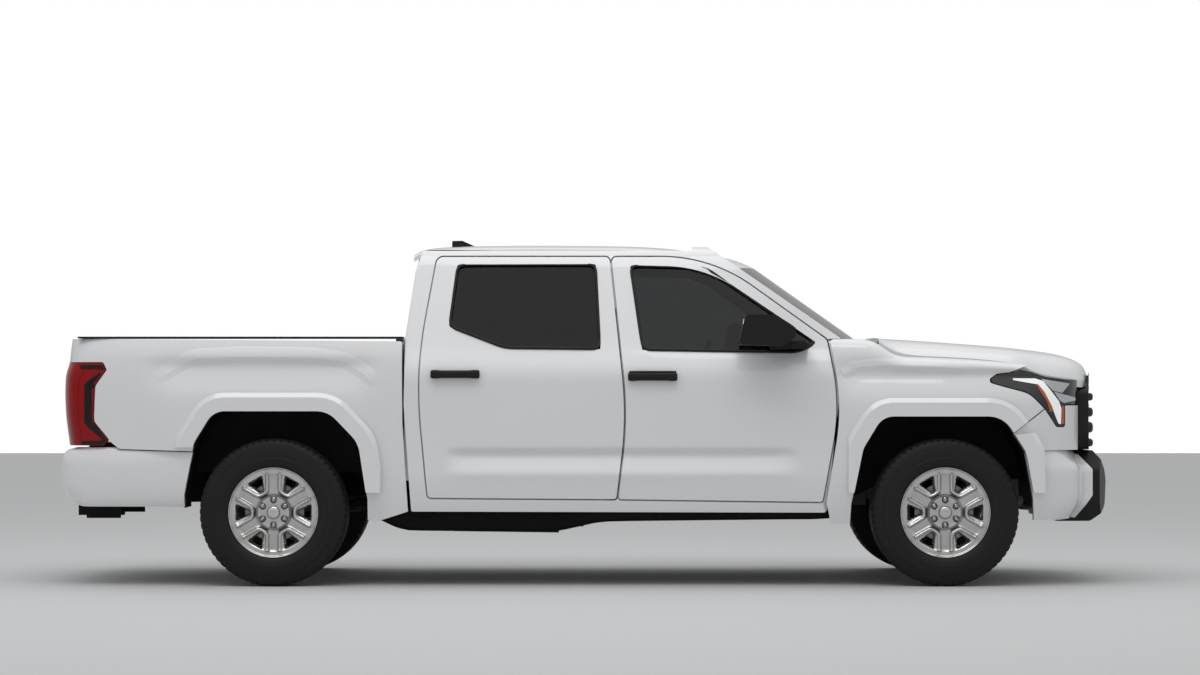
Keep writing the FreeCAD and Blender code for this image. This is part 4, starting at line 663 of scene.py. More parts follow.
@dataclass
class BodyFinisher:
    """Gives every CAD node the finish of its record slot, and the parts of a node that differ their own.

    Attributes:
        arch_reach: distance from the hub within which a wheelhouse lies.
        arch_half: half length of a wheelhouse.
        arch_face: distance from the truck's middle where the outer skin begins.
        skin_face: distance from the truck's middle past which only the door handles reach.
        least_facing: share by which a wheelhouse face looks at the wheel.
        least_outward: share by which it looks out of the truck.
    """

    arch_reach: float = 0.665
    arch_half: float = 0.535
    arch_face: float = 0.935
    skin_face: float = 0.990
    least_facing: float = 0.2
    least_outward: float = 0.5

    def slots(self) -> Dict[str, str]:
        """Record slot of each node.

        Returns:
            Slot by node.
        """
        return {part["node"]: part["material_slot"] for part in frame["record"]["subparts"]}

    def read(self, piece: bpy.types.Object, key: str) -> np.ndarray:
        """Vectors of a mesh's faces.

        Args:
            piece: the object.
            key: center or normal.

        Returns:
            One row of coordinates for each face.
        """
        values = np.zeros(len(piece.data.polygons) * 3, np.float32)
        piece.data.polygons.foreach_get(key, values)
        return values.reshape(-1, 3)

    def in_arch(self, centre: np.ndarray, normal: np.ndarray, hub: Vector) -> np.ndarray:
        """Faces of a wheelhouse that look at the wheel.

        Args:
            centre: middles of the faces.
            normal: their normals.
            hub: middle of the wheel.

        Returns:
            Mask of the faces.
        """
        dx, dz = hub.x - centre[:, 0], hub.z - centre[:, 2]
        away = np.hypot(dx, dz)
        facing = (dx * normal[:, 0] + dz * normal[:, 2]) / np.maximum(away, MM)
        outward = normal[:, 1] * np.sign(centre[:, 1])
        near = (away < self.arch_reach) & (np.abs(dx) < self.arch_half) & (np.abs(centre[:, 1]) < self.arch_face)
        return near & ((facing > self.least_facing) | (outward > self.least_outward))

    def split(self, name: str, finish: Finish, mask: Callable[[np.ndarray, np.ndarray], np.ndarray]) -> None:
        """Gives the faces that a mask picks a second finish.

        Args:
            name: the node.
            finish: second finish.
            mask: picks faces by their middles and normals.
        """
        piece = NODES[name]
        piece.data.materials.append(PALETTE.of(finish))
        index = np.zeros(len(piece.data.polygons), np.int32)
        piece.data.polygons.foreach_get("material_index", index)
        index[mask(self.read(piece, "center"), self.read(piece, "normal"))] = len(piece.data.materials) - 1
        piece.data.polygons.foreach_set("material_index", index)

    def dress(self) -> None:
        """Dresses all nodes."""
        for name, slot in self.slots().items():
            materials = NODES[name].data.materials
            materials.clear()
            materials.append(PALETTE.of(SLOT_FINISHES[slot]))
            index = np.zeros(len(NODES[name].data.polygons), np.int32)
            NODES[name].data.polygons.foreach_set("material_index", index)
        low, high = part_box("tyre_rear_right")
        hub = (low + high) / 2
        for door, (x0, x1, z_high, z_low) in HANDLES.items():
            for side in SIDES.values():
                self.split(f"{door}_{side}", TRIM, lambda c, n: (
                    (c[:, 0] > x0) & (c[:, 0] < x1) & (c[:, 2] > z_low) & (c[:, 2] < z_high)
                    & (np.abs(c[:, 1]) > self.skin_face)))
        self.split("bed_sides", FRAME, lambda c, n: self.in_arch(c, n, hub))


# Wheels
@dataclass
class Wheel:
    """One wheel with treaded tyre, stamped rim, nuts and brake disc.

    Attributes:
        place: name that its nodes end with.
        tread_blocks: blocks round the tyre.
        block_steps: points round from one block to the next.
        stagger: points by which a rib's blocks lag behind its neighbour's.
        tread_from: radius where the tread begins.
        rib_bounds: shares of the half width at which the ribs meet.
        ring_shares: shares of the half width at the walls of the grooves round.
        cross_depth: depth of the cross grooves.
        ring_depth: depth of the grooves round.
        rim_radius: outer radius of the pressed face.
        spokes: number of spokes, windows and nuts.
        window_in: reach at which a window starts.
        window_out: reach at which it ends.
        window_half: half widths of a window at its two ends.
        window_slant: share by which its sides lean against the reach.
        window_soft: rounding of its corners.
        window_fall: depth of its turned-in edge.
        fall_from: distance from the window at which the edge starts to turn in.
        fall_over: distance over which it turns in.
        ridge_away: distance of a ridge from its spoke's border line.
        ridge_foot: reach from which the ridge at a window's foot is measured.
        ridge_bend: rounding of the ridge's turn.
        ridge_height: height of a ridge.
        ridge_widths: how wide a ridge falls off towards the spoke and towards the window.
        ridge_ends: radii at which the ridges have faded out.
        ridge_fade: distance over which they fade.
        hub_radius: radius of the hub disc.
        nut_circle: radius on which the nuts lie.
        pocket_radius: radius of a nut's pocket.
        pocket_depth: depth of the pocket.
        pocket_ramp: width of the pocket's slope.
        face_columns: points round the face.
        face_gap: distance of the rim's edge from the tyre's outer face.
    """

    place: str
    tread_blocks: int = 62
    block_steps: int = 5
    stagger: int = 2
    tread_from: float = 0.388
    rib_bounds: Tuple[float, ...] = (-0.515, -0.155, 0.155, 0.515)
    ring_shares: Tuple[float, ...] = (0.55, 0.48, 0.19, 0.12)
    cross_depth: float = 0.0065
    ring_depth: float = 0.0085
    rim_radius: float = 0.2475
    spokes: int = 6
    window_in: float = 0.1285
    window_out: float = 0.2050
    window_half: Tuple[float, float] = (0.010, 0.0430)
    window_slant: float = 0.9
    window_soft: float = 0.0035
    window_fall: float = 0.034
    fall_from: float = 0.004
    fall_over: float = 0.007
    ridge_away: float = 0.0335
    ridge_foot: float = 0.0810
    ridge_bend: float = 0.006
    ridge_height: float = 0.0165
    ridge_widths: Tuple[float, float] = (0.0095, 0.0120)
    ridge_ends: Tuple[float, float] = (0.096, 0.2205)
    ridge_fade: float = 0.008
    hub_radius: float = 0.086
    nut_circle: float = 0.0698
    pocket_radius: float = 0.0175
    pocket_depth: float = 0.010
    pocket_ramp: float = 0.003
    face_columns: int = 288
    face_gap: float = 0.018

    def __post_init__(self) -> None:
        """Reads the tyre's place from the frame."""
        low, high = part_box("tyre_" + self.place)
        self.side = 1 if "left" in self.place else -1
        self.hub = Vector(((low.x + high.x) / 2, (low.y + high.y) / 2, (low.z + high.z) / 2))
        self.radius = (high.x - low.x) / 2
        self.half = (high.y - low.y) / 2
        self.body = "wheel_" + self.place
        self.face = self.half - self.face_gap

    def tyre(self) -> None:
        """Tyre: a profile of bead, bulged wall, shoulder and crown turned round, cut by grooves.

        The crown has four grooves round and cross grooves between blocks that stagger from rib to rib; the
        depth at a point is the larger of the two.
        """
        wall = [(0.2380, 0.700), (0.2475, 0.770), (0.2492, 0.835), (0.2530, 0.868), (0.262, 0.925), (0.275, 0.965),
                (0.292, 0.990), (0.300, 1.0), (0.303, 0.988), (0.312, 0.992), (0.330, 0.985), (0.345, 0.965),
                (0.348, 0.940), (0.362, 0.925), (0.378, 0.890), (0.390, 0.845), (0.398, 0.800), (0.4025, 0.740)]
        crown = [0.70, 0.56, 0.55, 0.48, 0.47, 0.30, 0.20, 0.19, 0.12, 0.11, 0.0]
        drop = [0.0008, 0.0004, 0.0004, 0.0004, 0.0004, 0.0001, 0.0001, 0.0001, 0.0, 0.0, 0.0]
        half = wall + [(self.radius - fall, share) for share, fall in zip(crown, drop)]
        full = half + [(r, -w) for r, w in half[-2::-1]] + [(0.232, -0.75), (0.232, 0.75)]
        radius, share = np.array(full).T
        count = self.tread_blocks * self.block_steps
        step = np.arange(count)
        rib = np.digitize(share, self.rib_bounds)
        groove = np.isin(np.round(np.abs(share), 3), self.ring_shares)
        cross = ((step[None, :] + rib[:, None] * self.stagger) % self.block_steps) == 0
        on_crown = (radius > self.tread_from)[:, None]
        depth = np.where(on_crown & cross, self.cross_depth, 0.0)
        depth = np.maximum(depth, np.where(groove, self.ring_depth, 0.0)[:, None])
        angle = step / count * 2 * np.pi
        reach = radius[:, None] - depth
        out = self.half * share[:, None] * np.ones(count)
        points = np.stack([self.hub.x + reach * np.cos(angle), self.hub.y + self.side * out,
                           self.hub.z + reach * np.sin(angle)], -1)
        shape = Shape().grid(points, close_rows=True, close_columns=True)
        piece = shape.build("tyre_tread_" + self.place, RUBBER, self.body, "tyre", smooth=28)
        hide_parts("tyre_" + self.place)

    def face_height(self, radius: np.ndarray, angle: np.ndarray) -> Tuple[np.ndarray, np.ndarray]:
        """Outward height of the rim's face and distance from its windows.

        Each window is a rounded wedge: the distance is a soft maximum of the distances to its two sides and
        its two ends. A ridge runs beside each spoke, at a fixed distance from the spoke's middle line, and turns
        round the foot of the window: a bell of the soft minimum of the two distances. The spokes lie lower, and
        the hub disc stands in a ring groove.

        Args:
            radius: distance from the axle.
            angle: angle round the axle.

        Returns:
            Height and window distance at each point.
        """
        sixth = 2 * np.pi / self.spokes
        phi = (angle + sixth / 2) % sixth - sixth / 2
        reach, across = radius * np.cos(phi), np.abs(radius * np.sin(phi))
        half = np.interp(reach, [self.window_in, self.window_out], self.window_half)
        sides = np.stack([(across - half) * self.window_slant, self.window_in - reach, reach - self.window_out])
        soft, limit = self.window_soft, 40
        away = soft * np.log(np.exp(np.clip(sides / soft, -limit, limit)).sum(0))
        base = np.interp(radius, [0.0, 0.078, self.hub_radius, 0.088, 0.094, 0.104, 0.125, 0.200, 0.2100, 0.2160,
                                  0.2360, 0.2400, 0.2440, self.rim_radius],
                         [-0.014, -0.014, -0.016, -0.030, -0.030, -0.026, -0.024, -0.021, -0.017, -0.012,
                          -0.010, -0.008, -0.001, 0.000])
        inner, outer = self.ridge_ends
        fade = (np.clip((outer - radius) / self.ridge_fade, 0, 1)
                * np.clip((radius - inner) / self.ridge_fade, 0, 1))
        spoke = reach * np.sin(sixth / 2) - across * np.cos(sixth / 2)
        bend = self.ridge_bend
        line = -bend * np.log(np.exp(-np.clip(spoke, -0.1, 0.2) / bend) + np.exp(-(reach - self.ridge_foot) / bend))
        step = line - self.ridge_away
        ridge = self.ridge_height * np.exp(-(step / np.where(step < 0, *self.ridge_widths)) ** 2)
        ridge *= eased(fade)
        turn = angle % sixth - sixth / 2
        near = np.hypot(radius * np.cos(turn) - self.nut_circle, radius * np.sin(turn))
        pocket = self.pocket_depth * np.clip((self.pocket_radius - near) / self.pocket_ramp, 0, 1)
        fall = eased(np.clip((self.fall_from - away) / self.fall_over, 0, 1))
        return base + ridge - pocket - self.window_fall * fall, away

    def trimmed(self, radius: np.ndarray, turn: np.ndarray) -> Tuple[np.ndarray, np.ndarray, np.ndarray]:
        """Pulls the grid points nearest to a window's edge onto the edge, so that it is cut clean.

        Args:
            radius: distance from the axle.
            turn: angle round the axle.

        Returns:
            Moved radius and angle, and the mask of the points that stay.
        """
        edge, reach, tiny, least_slope, rounds = -0.0050, 0.0026, 1e-5, 0.05, 3
        x, z = radius * np.cos(turn), radius * np.sin(turn)

        def away(x: np.ndarray, z: np.ndarray) -> np.ndarray:
            """Distance from the cut line."""
            return self.face_height(np.hypot(x, z), np.arctan2(z, x))[1] - edge

        here = away(x, z)
        keep = here > -reach
        for _ in range(rounds):
            now = away(x, z)
            slope_x, slope_z = (away(x + tiny, z) - now) / tiny, (away(x, z + tiny) - now) / tiny
            pull = np.where(np.abs(here) <= reach, now / np.maximum(slope_x ** 2 + slope_z ** 2, least_slope), 0)
            x, z = x - pull * slope_x, z - pull * slope_z
        return np.hypot(x, z), np.arctan2(z, x), keep

    def rim(self) -> None:
        """Rim: pressed face with six windows, barrel, hub cap and nuts."""
        rings = np.unique(np.concatenate([np.linspace(0.030, self.hub_radius, 8), np.linspace(0.088, 0.096, 5),
                                          np.linspace(0.098, 0.222, 50), np.linspace(0.226, self.rim_radius, 10)]))
        angle = np.linspace(0, 2 * np.pi, self.face_columns, endpoint=False)
        radius, turn = np.meshgrid(rings, angle, indexing="ij")
        radius, turn, keep = self.trimmed(radius, turn)
        height = self.face_height(radius, turn)[0]
        points = np.stack([self.hub.x + radius * np.cos(turn), self.hub.y + self.side * (self.face + height),
                           self.hub.z + radius * np.sin(turn)], -1)
        shape = Shape().grid(points, close_columns=True, keep=keep)
        piece = shape.build("rim_face_" + self.place, RIM, self.body, "rim_silver", smooth=50, solid=0.005)
        self.turn_outward(piece)
        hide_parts("rim_" + self.place)
        inner = self.face - 0.008
        barrel = [(self.rim_radius, inner + 0.006), (0.2490, inner + 0.004), (0.2445, inner - 0.006),
                  (0.2340, inner - 0.012), (0.2300, inner - 0.030), (0.2300, -0.088), (0.2380, -0.096),
                  (0.2360, -0.100), (0.2230, -0.090), (0.2200, inner - 0.040), (0.2200, inner - 0.018),
                  (0.2350, inner - 0.006)]
        Shape().grid(revolved(barrel, self.hub, self.side, 144), close_rows=True, close_columns=True).build(
            "rim_barrel_" + self.place, RIM, self.body, "rim_silver", smooth=40)
        cap = [(0.0, self.face + 0.0005), (0.012, self.face), (0.026, self.face - 0.003), (0.0315, self.face - 0.007),
               (0.0335, self.face - 0.013), (0.034, self.face - 0.020), (0.0, self.face - 0.021)]
        Shape().grid(revolved(cap, self.hub, self.side, 64), close_columns=True).build(
            "hub_cap_" + self.place, RIM, self.body, "rim_silver", smooth=30)
        nuts = Shape()
        nut = [(0.0, 0.010), (0.0050, 0.0095), (0.0085, 0.006), (0.0100, 0.0), (0.0100, -0.010), (0.0135, -0.012),
               (0.0135, -0.017), (0.0, -0.018)]
        for index in range(self.spokes):
            turn = (2 * index + 1) * math.pi / self.spokes
            middle = self.hub + Vector((math.cos(turn), 0, math.sin(turn))) * self.nut_circle
            nuts.grid(revolved([(r, self.face - 0.006 + w) for r, w in nut], middle, self.side, 18), close_columns=True)
        nuts.build("wheel_nuts_" + self.place, CHROME, self.body, "rim_silver", smooth=30)

    def disc(self) -> None:
        """Brake disc with its hat, behind the windows."""
        back = self.face - 0.072
        profile = [(0.030, back + 0.020), (0.080, back + 0.020), (0.088, back + 0.014), (0.092, back + 0.002),
                   (0.098, back), (0.160, back), (0.163, back - 0.002), (0.163, back - 0.018), (0.160, back - 0.020),
                   (0.030, back - 0.020)]
        Shape().grid(revolved(profile, self.hub, self.side, 96), close_rows=True, close_columns=True).build(
            "brake_disc_" + self.place, IRON, self.body, "cast_metal", smooth=30)

    def turn_outward(self, piece: bpy.types.Object) -> None:
        """Turns an open face sheet so that its normals leave the truck.

        Args:
            piece: the sheet.
        """
        values = np.zeros(len(piece.data.polygons) * 3, np.float32)
        piece.data.polygons.foreach_get("normal", values)
        if values.reshape(-1, 3)[:, 1].sum() * self.side < 0:
            piece.data.flip_normals()

    def build(self) -> None:
        """Builds all pieces."""
        self.tyre()
        self.rim()
        self.disc()


# Lamps
@dataclass
class Lamps:
    """Light guides, markers and reflectors of the head lamps, and the dark panel of the tail lamps.

    Attributes:
        guide: outline of the white light guide, like all outlines here in side view.
        marker: outline of the amber marker behind it.
        mirror_upper: outline of the upper reflector.
        mirror_lower: outline of the lower reflector.
        turn: outline of the turn lamp.
        tail_panel: outline of the tail lamp's dark frame.
        tail_glow: outline of its light band.
        head_depth: depth of the head lamp pieces.
        head_spacing: distance of their lattice points.
    """

    guide: Outline = (
        (2.372, 1.146), (2.496, 1.145), (2.540, 1.131), (2.583, 1.079), (2.631, 1.020), (2.646, 0.980),
        (2.643, 0.892), (2.628, 0.897), (2.609, 0.941), (2.586, 0.999), (2.546, 1.071), (2.513, 1.112),
        (2.427, 1.126), (2.372, 1.136))
    marker: Outline = (
        (2.500, 1.114), (2.521, 1.103), (2.577, 1.024), (2.594, 0.964), (2.577, 0.962), (2.562, 1.014),
        (2.524, 1.072))
    mirror_upper: Outline = (
        (2.530, 1.142), (2.700, 1.118), (2.652, 1.066), (2.596, 1.078))
    mirror_lower: Outline = (
        (2.600, 1.074), (2.652, 1.060), (2.738, 1.040), (2.742, 1.024), (2.662, 1.010), (2.638, 1.022))
    turn: Outline = (
        (2.648, 0.994), (2.662, 0.994), (2.662, 0.894), (2.646, 0.894))
    tail_panel: Outline = (
        (-2.772, 1.219), (-2.652, 1.219), (-2.628, 1.192), (-2.688, 1.107), (-2.695, 0.901), (-2.62, 0.803),
        (-2.645, 0.78), (-2.766, 0.78), (-2.766, 0.8), (-2.656, 0.802), (-2.65, 0.814), (-2.728, 0.878),
        (-2.747, 0.905), (-2.747, 1.109), (-2.728, 1.131), (-2.648, 1.186), (-2.656, 1.196), (-2.772, 1.197))
    tail_glow: Outline = (
        (-2.786, 0.817), (-2.799, 0.916), (-2.802, 1.054), (-2.794, 1.153), (-2.777, 1.189), (-2.75, 1.189),
        (-2.777, 1.142), (-2.785, 1.054), (-2.783, 0.916), (-2.761, 0.817))
    head_depth: float = 0.006
    head_spacing: float = 0.010

    def build(self) -> None:
        """Builds all lamp pieces."""
        for name, outline, stand, finish in (
                ("headlamp_guides", self.guide, 0.0045, GUIDE), ("headlamp_markers", self.marker, 0.0030, AMBER),
                ("headlamp_mirrors", self.mirror_upper, 0.0030, SILVER),
                ("headlamp_bowls", self.mirror_lower, 0.0045, SILVER), ("turn_lamps", self.turn, 0.0040, AMBER)):
            laid(outline, ["headlamps"], stand, self.head_depth, spacing=self.head_spacing).build(
                name, finish, "chassis", "lamp_clear")
        for name, outline, stand, depth, finish in (
                ("tail_lamp_panels", self.tail_panel, 0.0030, 0.006, GLOSS_BLACK),
                ("tail_lamp_bands", self.tail_glow, 0.0025, 0.005, RED)):
            laid(outline, ["tail_lamps"], stand, depth).build(name, finish, "chassis", "lamp_red")


# Trim
@dataclass
class Trim:
    """Handles, window seals, pressed creases, bumper ends, dark side covers that paint the shade under the cab, wipers,
    grille bars and plates.

    Attributes:
        bed_crease: line of the bed side's pressed crease in side view.
        fender_crease: the same line of the front fender.
        sunk: height of a crease's border, just under the skin.
        crease_height: height of a crease at its line.
        crease_below: how far it reaches below its line.
        crease_count: rows along a crease.
        crease_rounds: rounds that smooth its line.
        handle_over: how far the bar reaches past the handle's solid.
        handle_stand: distance of the bar's middle from the skin.
        handle_drop: how far it lies below the middle of the solid.
        handle_skin: how far below the handle the skin is felt for.
        handle_shares: shares of the bar's length at which its section is given.
        handle_deep: half depths of the bar there.
        handle_tall: half heights of the bar there.
        corner_cut: length of a window's corner that is rounded.
        seal_half: half width and half height of a seal.
        seal_inward: how far it lies inside the window's outline.
        seal_sunk: how far its middle lies under the skin.
        seal_skin: how far outside the outline the skin is felt for.
        plate: outline of the number plate, seen from behind.
        mirror_plate: outline of the right mirror's glass, seen from behind.
        cheek: outline of the bumper's body-colour end in side view.
        sill_side: distance of the dark side covers, painted shade under the cab, from the truck's middle.
        sill_line: line of such a cover in side view.
        sill_sizes: its half widths and half heights.
        bar_line: line of a grille bar seen from above, as (y, x).
        bar_deep: half depth of a grille bar.
        bars: height and half height of each grille bar.
        fin_count: number of upright fins.
        fin_reach: place of the outermost fin.
        windows: corners of the window openings in side view.
    """

    bed_crease: Outline = (
        (-2.380, 1.109), (-2.256, 1.190), (-2.146, 1.252), (-1.885, 1.266), (-1.472, 1.260), (-1.308, 1.233),
        (-1.198, 1.164), (-1.129, 1.082))
    fender_crease: Outline = (
        (1.428, 1.158), (1.500, 1.205), (1.633, 1.218), (1.936, 1.209), (2.240, 1.187))
    sunk: float = -0.0015
    crease_height: float = 0.0070
    crease_below: float = 0.040
    crease_count: int = 140
    crease_rounds: int = 6
    handle_over: float = 0.005
    handle_stand: float = 0.0165
    handle_drop: float = 0.006
    handle_skin: float = 0.05
    handle_shares: Tuple[float, ...] = (0.0, 0.02, 0.06, 0.14, 0.18, 0.82, 0.86, 0.94, 0.98, 1.0)
    handle_deep: Tuple[float, ...] = (0.0120, 0.0160, 0.0170, 0.0170, 0.0165, 0.0165, 0.0170, 0.0170, 0.0160, 0.0120)
    handle_tall: Tuple[float, ...] = (0.0170, 0.0225, 0.0238, 0.0238, 0.0215, 0.0215, 0.0238, 0.0238, 0.0225, 0.0170)
    corner_cut: float = 0.045
    seal_half: Tuple[float, float] = (0.0075, 0.0040)
    seal_inward: float = 0.003
    seal_sunk: float = 0.0005
    seal_skin: float = 0.012
    plate: Outline = ((-0.152, 0.442), (0.152, 0.442), (0.152, 0.592), (-0.152, 0.592))
    mirror_plate: Outline = (
        (-1.170, 1.345), (-0.985, 1.335), (-0.985, 1.440), (-1.010, 1.462), (-1.150, 1.468), (-1.178, 1.440))
    cheek: Outline = ((2.720, 0.735), (2.778, 0.719), (2.845, 0.640), (2.845, 0.495), (2.757, 0.368), (2.720, 0.372))
    sill_side: float = 0.62
    sill_line: Outline = (
        (-1.24, 0.425), (-1.00, 0.378), (-0.16, 0.372), (0.10, 0.400), (1.32, 0.408), (1.45, 0.385))
    sill_sizes: Outline = (
        (0.030, 0.020), (0.055, 0.085), (0.055, 0.085), (0.055, 0.055), (0.050, 0.050), (0.030, 0.020))
    bar_line: Outline = (
        (-0.625, 2.800), (-0.57, 2.852), (-0.30, 2.880), (0.0, 2.886), (0.30, 2.880), (0.57, 2.852), (0.625, 2.800))
    bar_deep: float = 0.020
    bars: Outline = ((0.958, 0.026), (0.872, 0.030), (0.786, 0.022), (1.044, 0.022))
    fin_count: int = 29
    fin_reach: float = 0.56
    windows: Dict[str, Outline] = field(default_factory=lambda: {
        "rear_door": ((-0.701, 1.783), (-0.742, 1.432), (-0.431, 1.312), (0.098, 1.306), (0.073, 1.785)),
        "front_door": ((0.261, 1.779), (0.328, 1.302), (1.190, 1.287), (1.294, 1.342), (0.683, 1.768))})

    def handle(self, door: str, side: int) -> None:
        """Pull bar round the handle's solid: a swept superellipse with a slim middle.

        Args:
            door: front_door or rear_door.
            side: -1 on the right, 1 on the left.
        """
        x0, x1, z_high, z_low = HANDLES[door]
        name = f"{door}_{SIDES[side]}"
        tree = target_tree([door + "_right"])
        middle = (z_high + z_low) / 2
        skin = min(surface_at(tree, x, middle - self.handle_skin) for x in (x0, x1))
        start, length = x0 - self.handle_over, x1 - x0 + 2 * self.handle_over
        path = [(start + length * share, side * (self.handle_stand - skin), middle - self.handle_drop)
                for share in self.handle_shares]
        bar = swept(path, list(zip(self.handle_deep, self.handle_tall)), (0, 0, 1), count=20, square=3.4, steps=4)
        Shape().grid(bar, close_columns=True, caps=True).build("handle_" + name, TRIM, name, "black_trim", smooth=40)

    def seal(self, door: str, side: int) -> None:
        """Black seal round a window: a flat oval swept along the window's outline on the door's skin.

        Args:
            door: front_door or rear_door.
            side: -1 on the right, 1 on the left.
        """
        corners = np.array(self.windows[door])
        name = f"{door}_{SIDES[side]}"
        tree = target_tree([door + "_right"])
        line = self.rounded(corners, self.corner_cut)
        ahead = np.roll(line, -1, 0) - np.roll(line, 1, 0)
        ahead /= np.linalg.norm(ahead, axis=1, keepdims=True)
        outward = np.stack([-ahead[:, 1], ahead[:, 0]], -1)
        middle = corners.mean(0)
        outward *= np.sign(((line - middle) * outward).sum(1, keepdims=True))
        skin = np.array([surface_at(tree, *(p + n * self.seal_skin)) for p, n in zip(line, outward)])
        skin = np.convolve(np.concatenate([skin[-2:], skin, skin[:2]]), np.ones(5) / 5, "valid")
        turn = np.linspace(0, 2 * np.pi, 10, endpoint=False)
        wide, tall = self.seal_half[0] * np.cos(turn), self.seal_half[1] * np.sin(turn)
        flat = line[:, None] + outward[:, None] * (wide - self.seal_inward)[None, :, None]
        y = skin[:, None] - self.seal_sunk + tall[None]
        points = np.stack([flat[..., 0], -side * y, flat[..., 1]], -1)
        Shape().grid(points, close_rows=True, close_columns=True).build("window_seal_" + name, TRIM, name,
                                                                        "black_trim", smooth=60)

    def rounded(self, corners: np.ndarray, radius: float, count: int = 6, run_count: int = 14) -> np.ndarray:
        """Closed line with its corners cut by short curves and its runs divided evenly.

        Args:
            corners: corner points.
            radius: how far from the corner the curve starts.
            count: points on each curve.
            run_count: points on each run, its ends included.

        Returns:
            Points of the line.
        """
        parts = []
        for before, here, after in zip(np.roll(corners, 1, 0), corners, np.roll(corners, -1, 0)):
            start = here + (before - here) / np.linalg.norm(before - here) * radius
            end = here + (after - here) / np.linalg.norm(after - here) * radius
            t = np.linspace(0, 1, count)[:, None]
            parts.append(start * (1 - t) ** 2 + here * 2 * t * (1 - t) + end * t ** 2)
            following = after + (here - after) / np.linalg.norm(here - after) * radius
            run = np.linspace(0, 1, run_count)[1:-1, None]
            parts.append(end + (following - end) * run)
        return np.concatenate(parts)

    def wipers(self) -> None:
        """Two wiper arms with their blades, parked over the cowl."""
        shape = Shape()
        for start, end in ((-0.62, -0.02), (0.02, 0.62)):
            path = [(1.560, start, 1.352), (1.548, start * 0.6 + end * 0.4, 1.358), (1.535, end, 1.362)]
            shape.grid(swept(path, [(0.008, 0.005), (0.006, 0.004), (0.004, 0.003)], (0, 0, 1), 10, 2.4),
                       close_columns=True, caps=True)
            blade = [(1.530, start + 0.05, 1.360), (1.526, (start + end) / 2, 1.364), (1.530, end, 1.360)]
            shape.grid(swept(blade, [(0.004, 0.006)] * 3, (0, 0, 1), 8, 2.4), close_columns=True, caps=True)
        shape.build("wipers", TRIM, "chassis", "black_trim", smooth=40)

    def grille(self) -> None:
        """Bulged cross bars and upright fins of the grille."""
        bars = Shape()
        for height, tall in self.bars:
            path = [(x, y, height) for y, x in self.bar_line]
            bars.grid(swept(path, [(self.bar_deep, tall)] * len(path), (0, 0, 1), 14, 2.6), close_columns=True,
                      caps=True)
        bars.build("grille_bars", TRIM, "chassis", "black_trim", smooth=40)
        fins = Shape()
        for y in np.linspace(-self.fin_reach, self.fin_reach, self.fin_count):
            front = 2.866 - 0.05 * (y / 0.6) ** 2
            path = [(front - 0.020, y, 0.772), (front - 0.014, y, 0.93), (front - 0.020, y, 1.120)]
            fins.grid(swept(path, [(0.0045, 0.011)] * 3, (1, 0, 0), 8, 3.0, 4), close_columns=True, caps=True)
        fins.build("grille_fins", GLOSS_BLACK, "chassis", "black_trim", smooth=40)

    def shade_sills(self) -> None:
        """Near-black covers under the cab, between its floor and the frame, that fill the see-through gap there:
        painted shade for the shadow under the body.
        """
        shape = Shape()
        for side in SIDES:
            path = [(x, side * self.sill_side, z) for x, z in self.sill_line]
            shape.grid(swept(path, self.sill_sizes, (0, 0, 1), 16, 3.5), close_columns=True, caps=True)
        shape.build("underbody_shade_sills", FRAME, "chassis", "frame_black", smooth=40)

    def plates(self) -> None:
        """Blank number plate of the rear bumper, and mirror glasses."""
        laid(self.plate, ["rear_bumper"], 0.001, 0.004, View.REAR, 0.03, mirror=False).build(
            "number_plate_rear", PLATE, "chassis", "paint", bevel=0.001)
        for side, name in SIDES.items():
            outline = [(y * -side, z) for y, z in self.mirror_plate]
            laid(outline, ["mirror_" + name], 0.002, 0.003, View.REAR, 0.02, mirror=False).build(
                "mirror_glass_" + name, MIRROR, f"front_door_{name}", "glass")

    def cheeks(self) -> None:
        """Body-colour ends of the bumper that reach round onto its black middle."""
        laid(self.cheek, ["bumper_middle"], 0.003, 0.006, spacing=0.02).build(
            "bumper_cheeks", PAINT, "chassis", "paint")

    def pressing(self, name: str, line: Outline, target: str, above: float, ends: Tuple[int, int]) -> None:
        """Pressed crease of the side: a low ridge, sharp along its line.

        The height at a distance across the line rises softly from above, breaks at the line and falls away
        below it; both ends fade out.

        Args:
            name: name of the piece.
            line: points of the crease in side view.
            target: CAD node that carries it.
            above: how far the ridge reaches over its line.
            ends: rows over which the rear and the front end fade.
        """
        corners = np.array(line)
        count, below = self.crease_count, self.crease_below
        share, knots = np.linspace(0, len(corners) - 1, count), np.arange(len(corners))
        path = np.stack([np.interp(share, knots, corners[:, k]) for k in range(2)], -1)
        for _ in range(self.crease_rounds):
            path[1:-1] = (path[:-2] + path[1:-1] * 2 + path[2:]) / 4
        ahead = np.gradient(path, axis=0)
        ahead /= np.linalg.norm(ahead, axis=1, keepdims=True)
        rise = np.stack([-ahead[:, 1], ahead[:, 0]], -1)
        upper = np.array([1.0, 0.89, 0.74, 0.58, 0.42, 0.27, 0.145, 0.065, 0.024]) * above
        across = np.concatenate([upper, [0.0, -0.0015, -0.004, -0.009, -0.017, -0.026, -0.034, -below]])
        height = np.interp(across, [-below, -0.034, -0.004, 0.0, above * 0.06, above / 2, above * 0.89, above],
                           [self.sunk, -0.0004, 0.0060, self.crease_height, 0.0069, 0.0042, 0.0002, self.sunk])
        row = np.arange(count)
        fade = np.clip(np.minimum(row / ends[0], row[::-1] / ends[1]), 0, 1)
        fade = eased(fade)[:, None]
        flat = path[:, None] + rise[:, None] * across[None, :, None]
        tree = target_tree([target])
        skin = np.array([[surface_at(tree, x, z) for x, z in places] for places in flat])
        stand = (height[None] - self.sunk) * fade + self.sunk
        points = np.stack([flat[..., 0], skin - stand, flat[..., 1]], -1)
        Shape().grid(points).mirrored().build(name, PAINT, "chassis", "paint", smooth=60, solid=0.002)

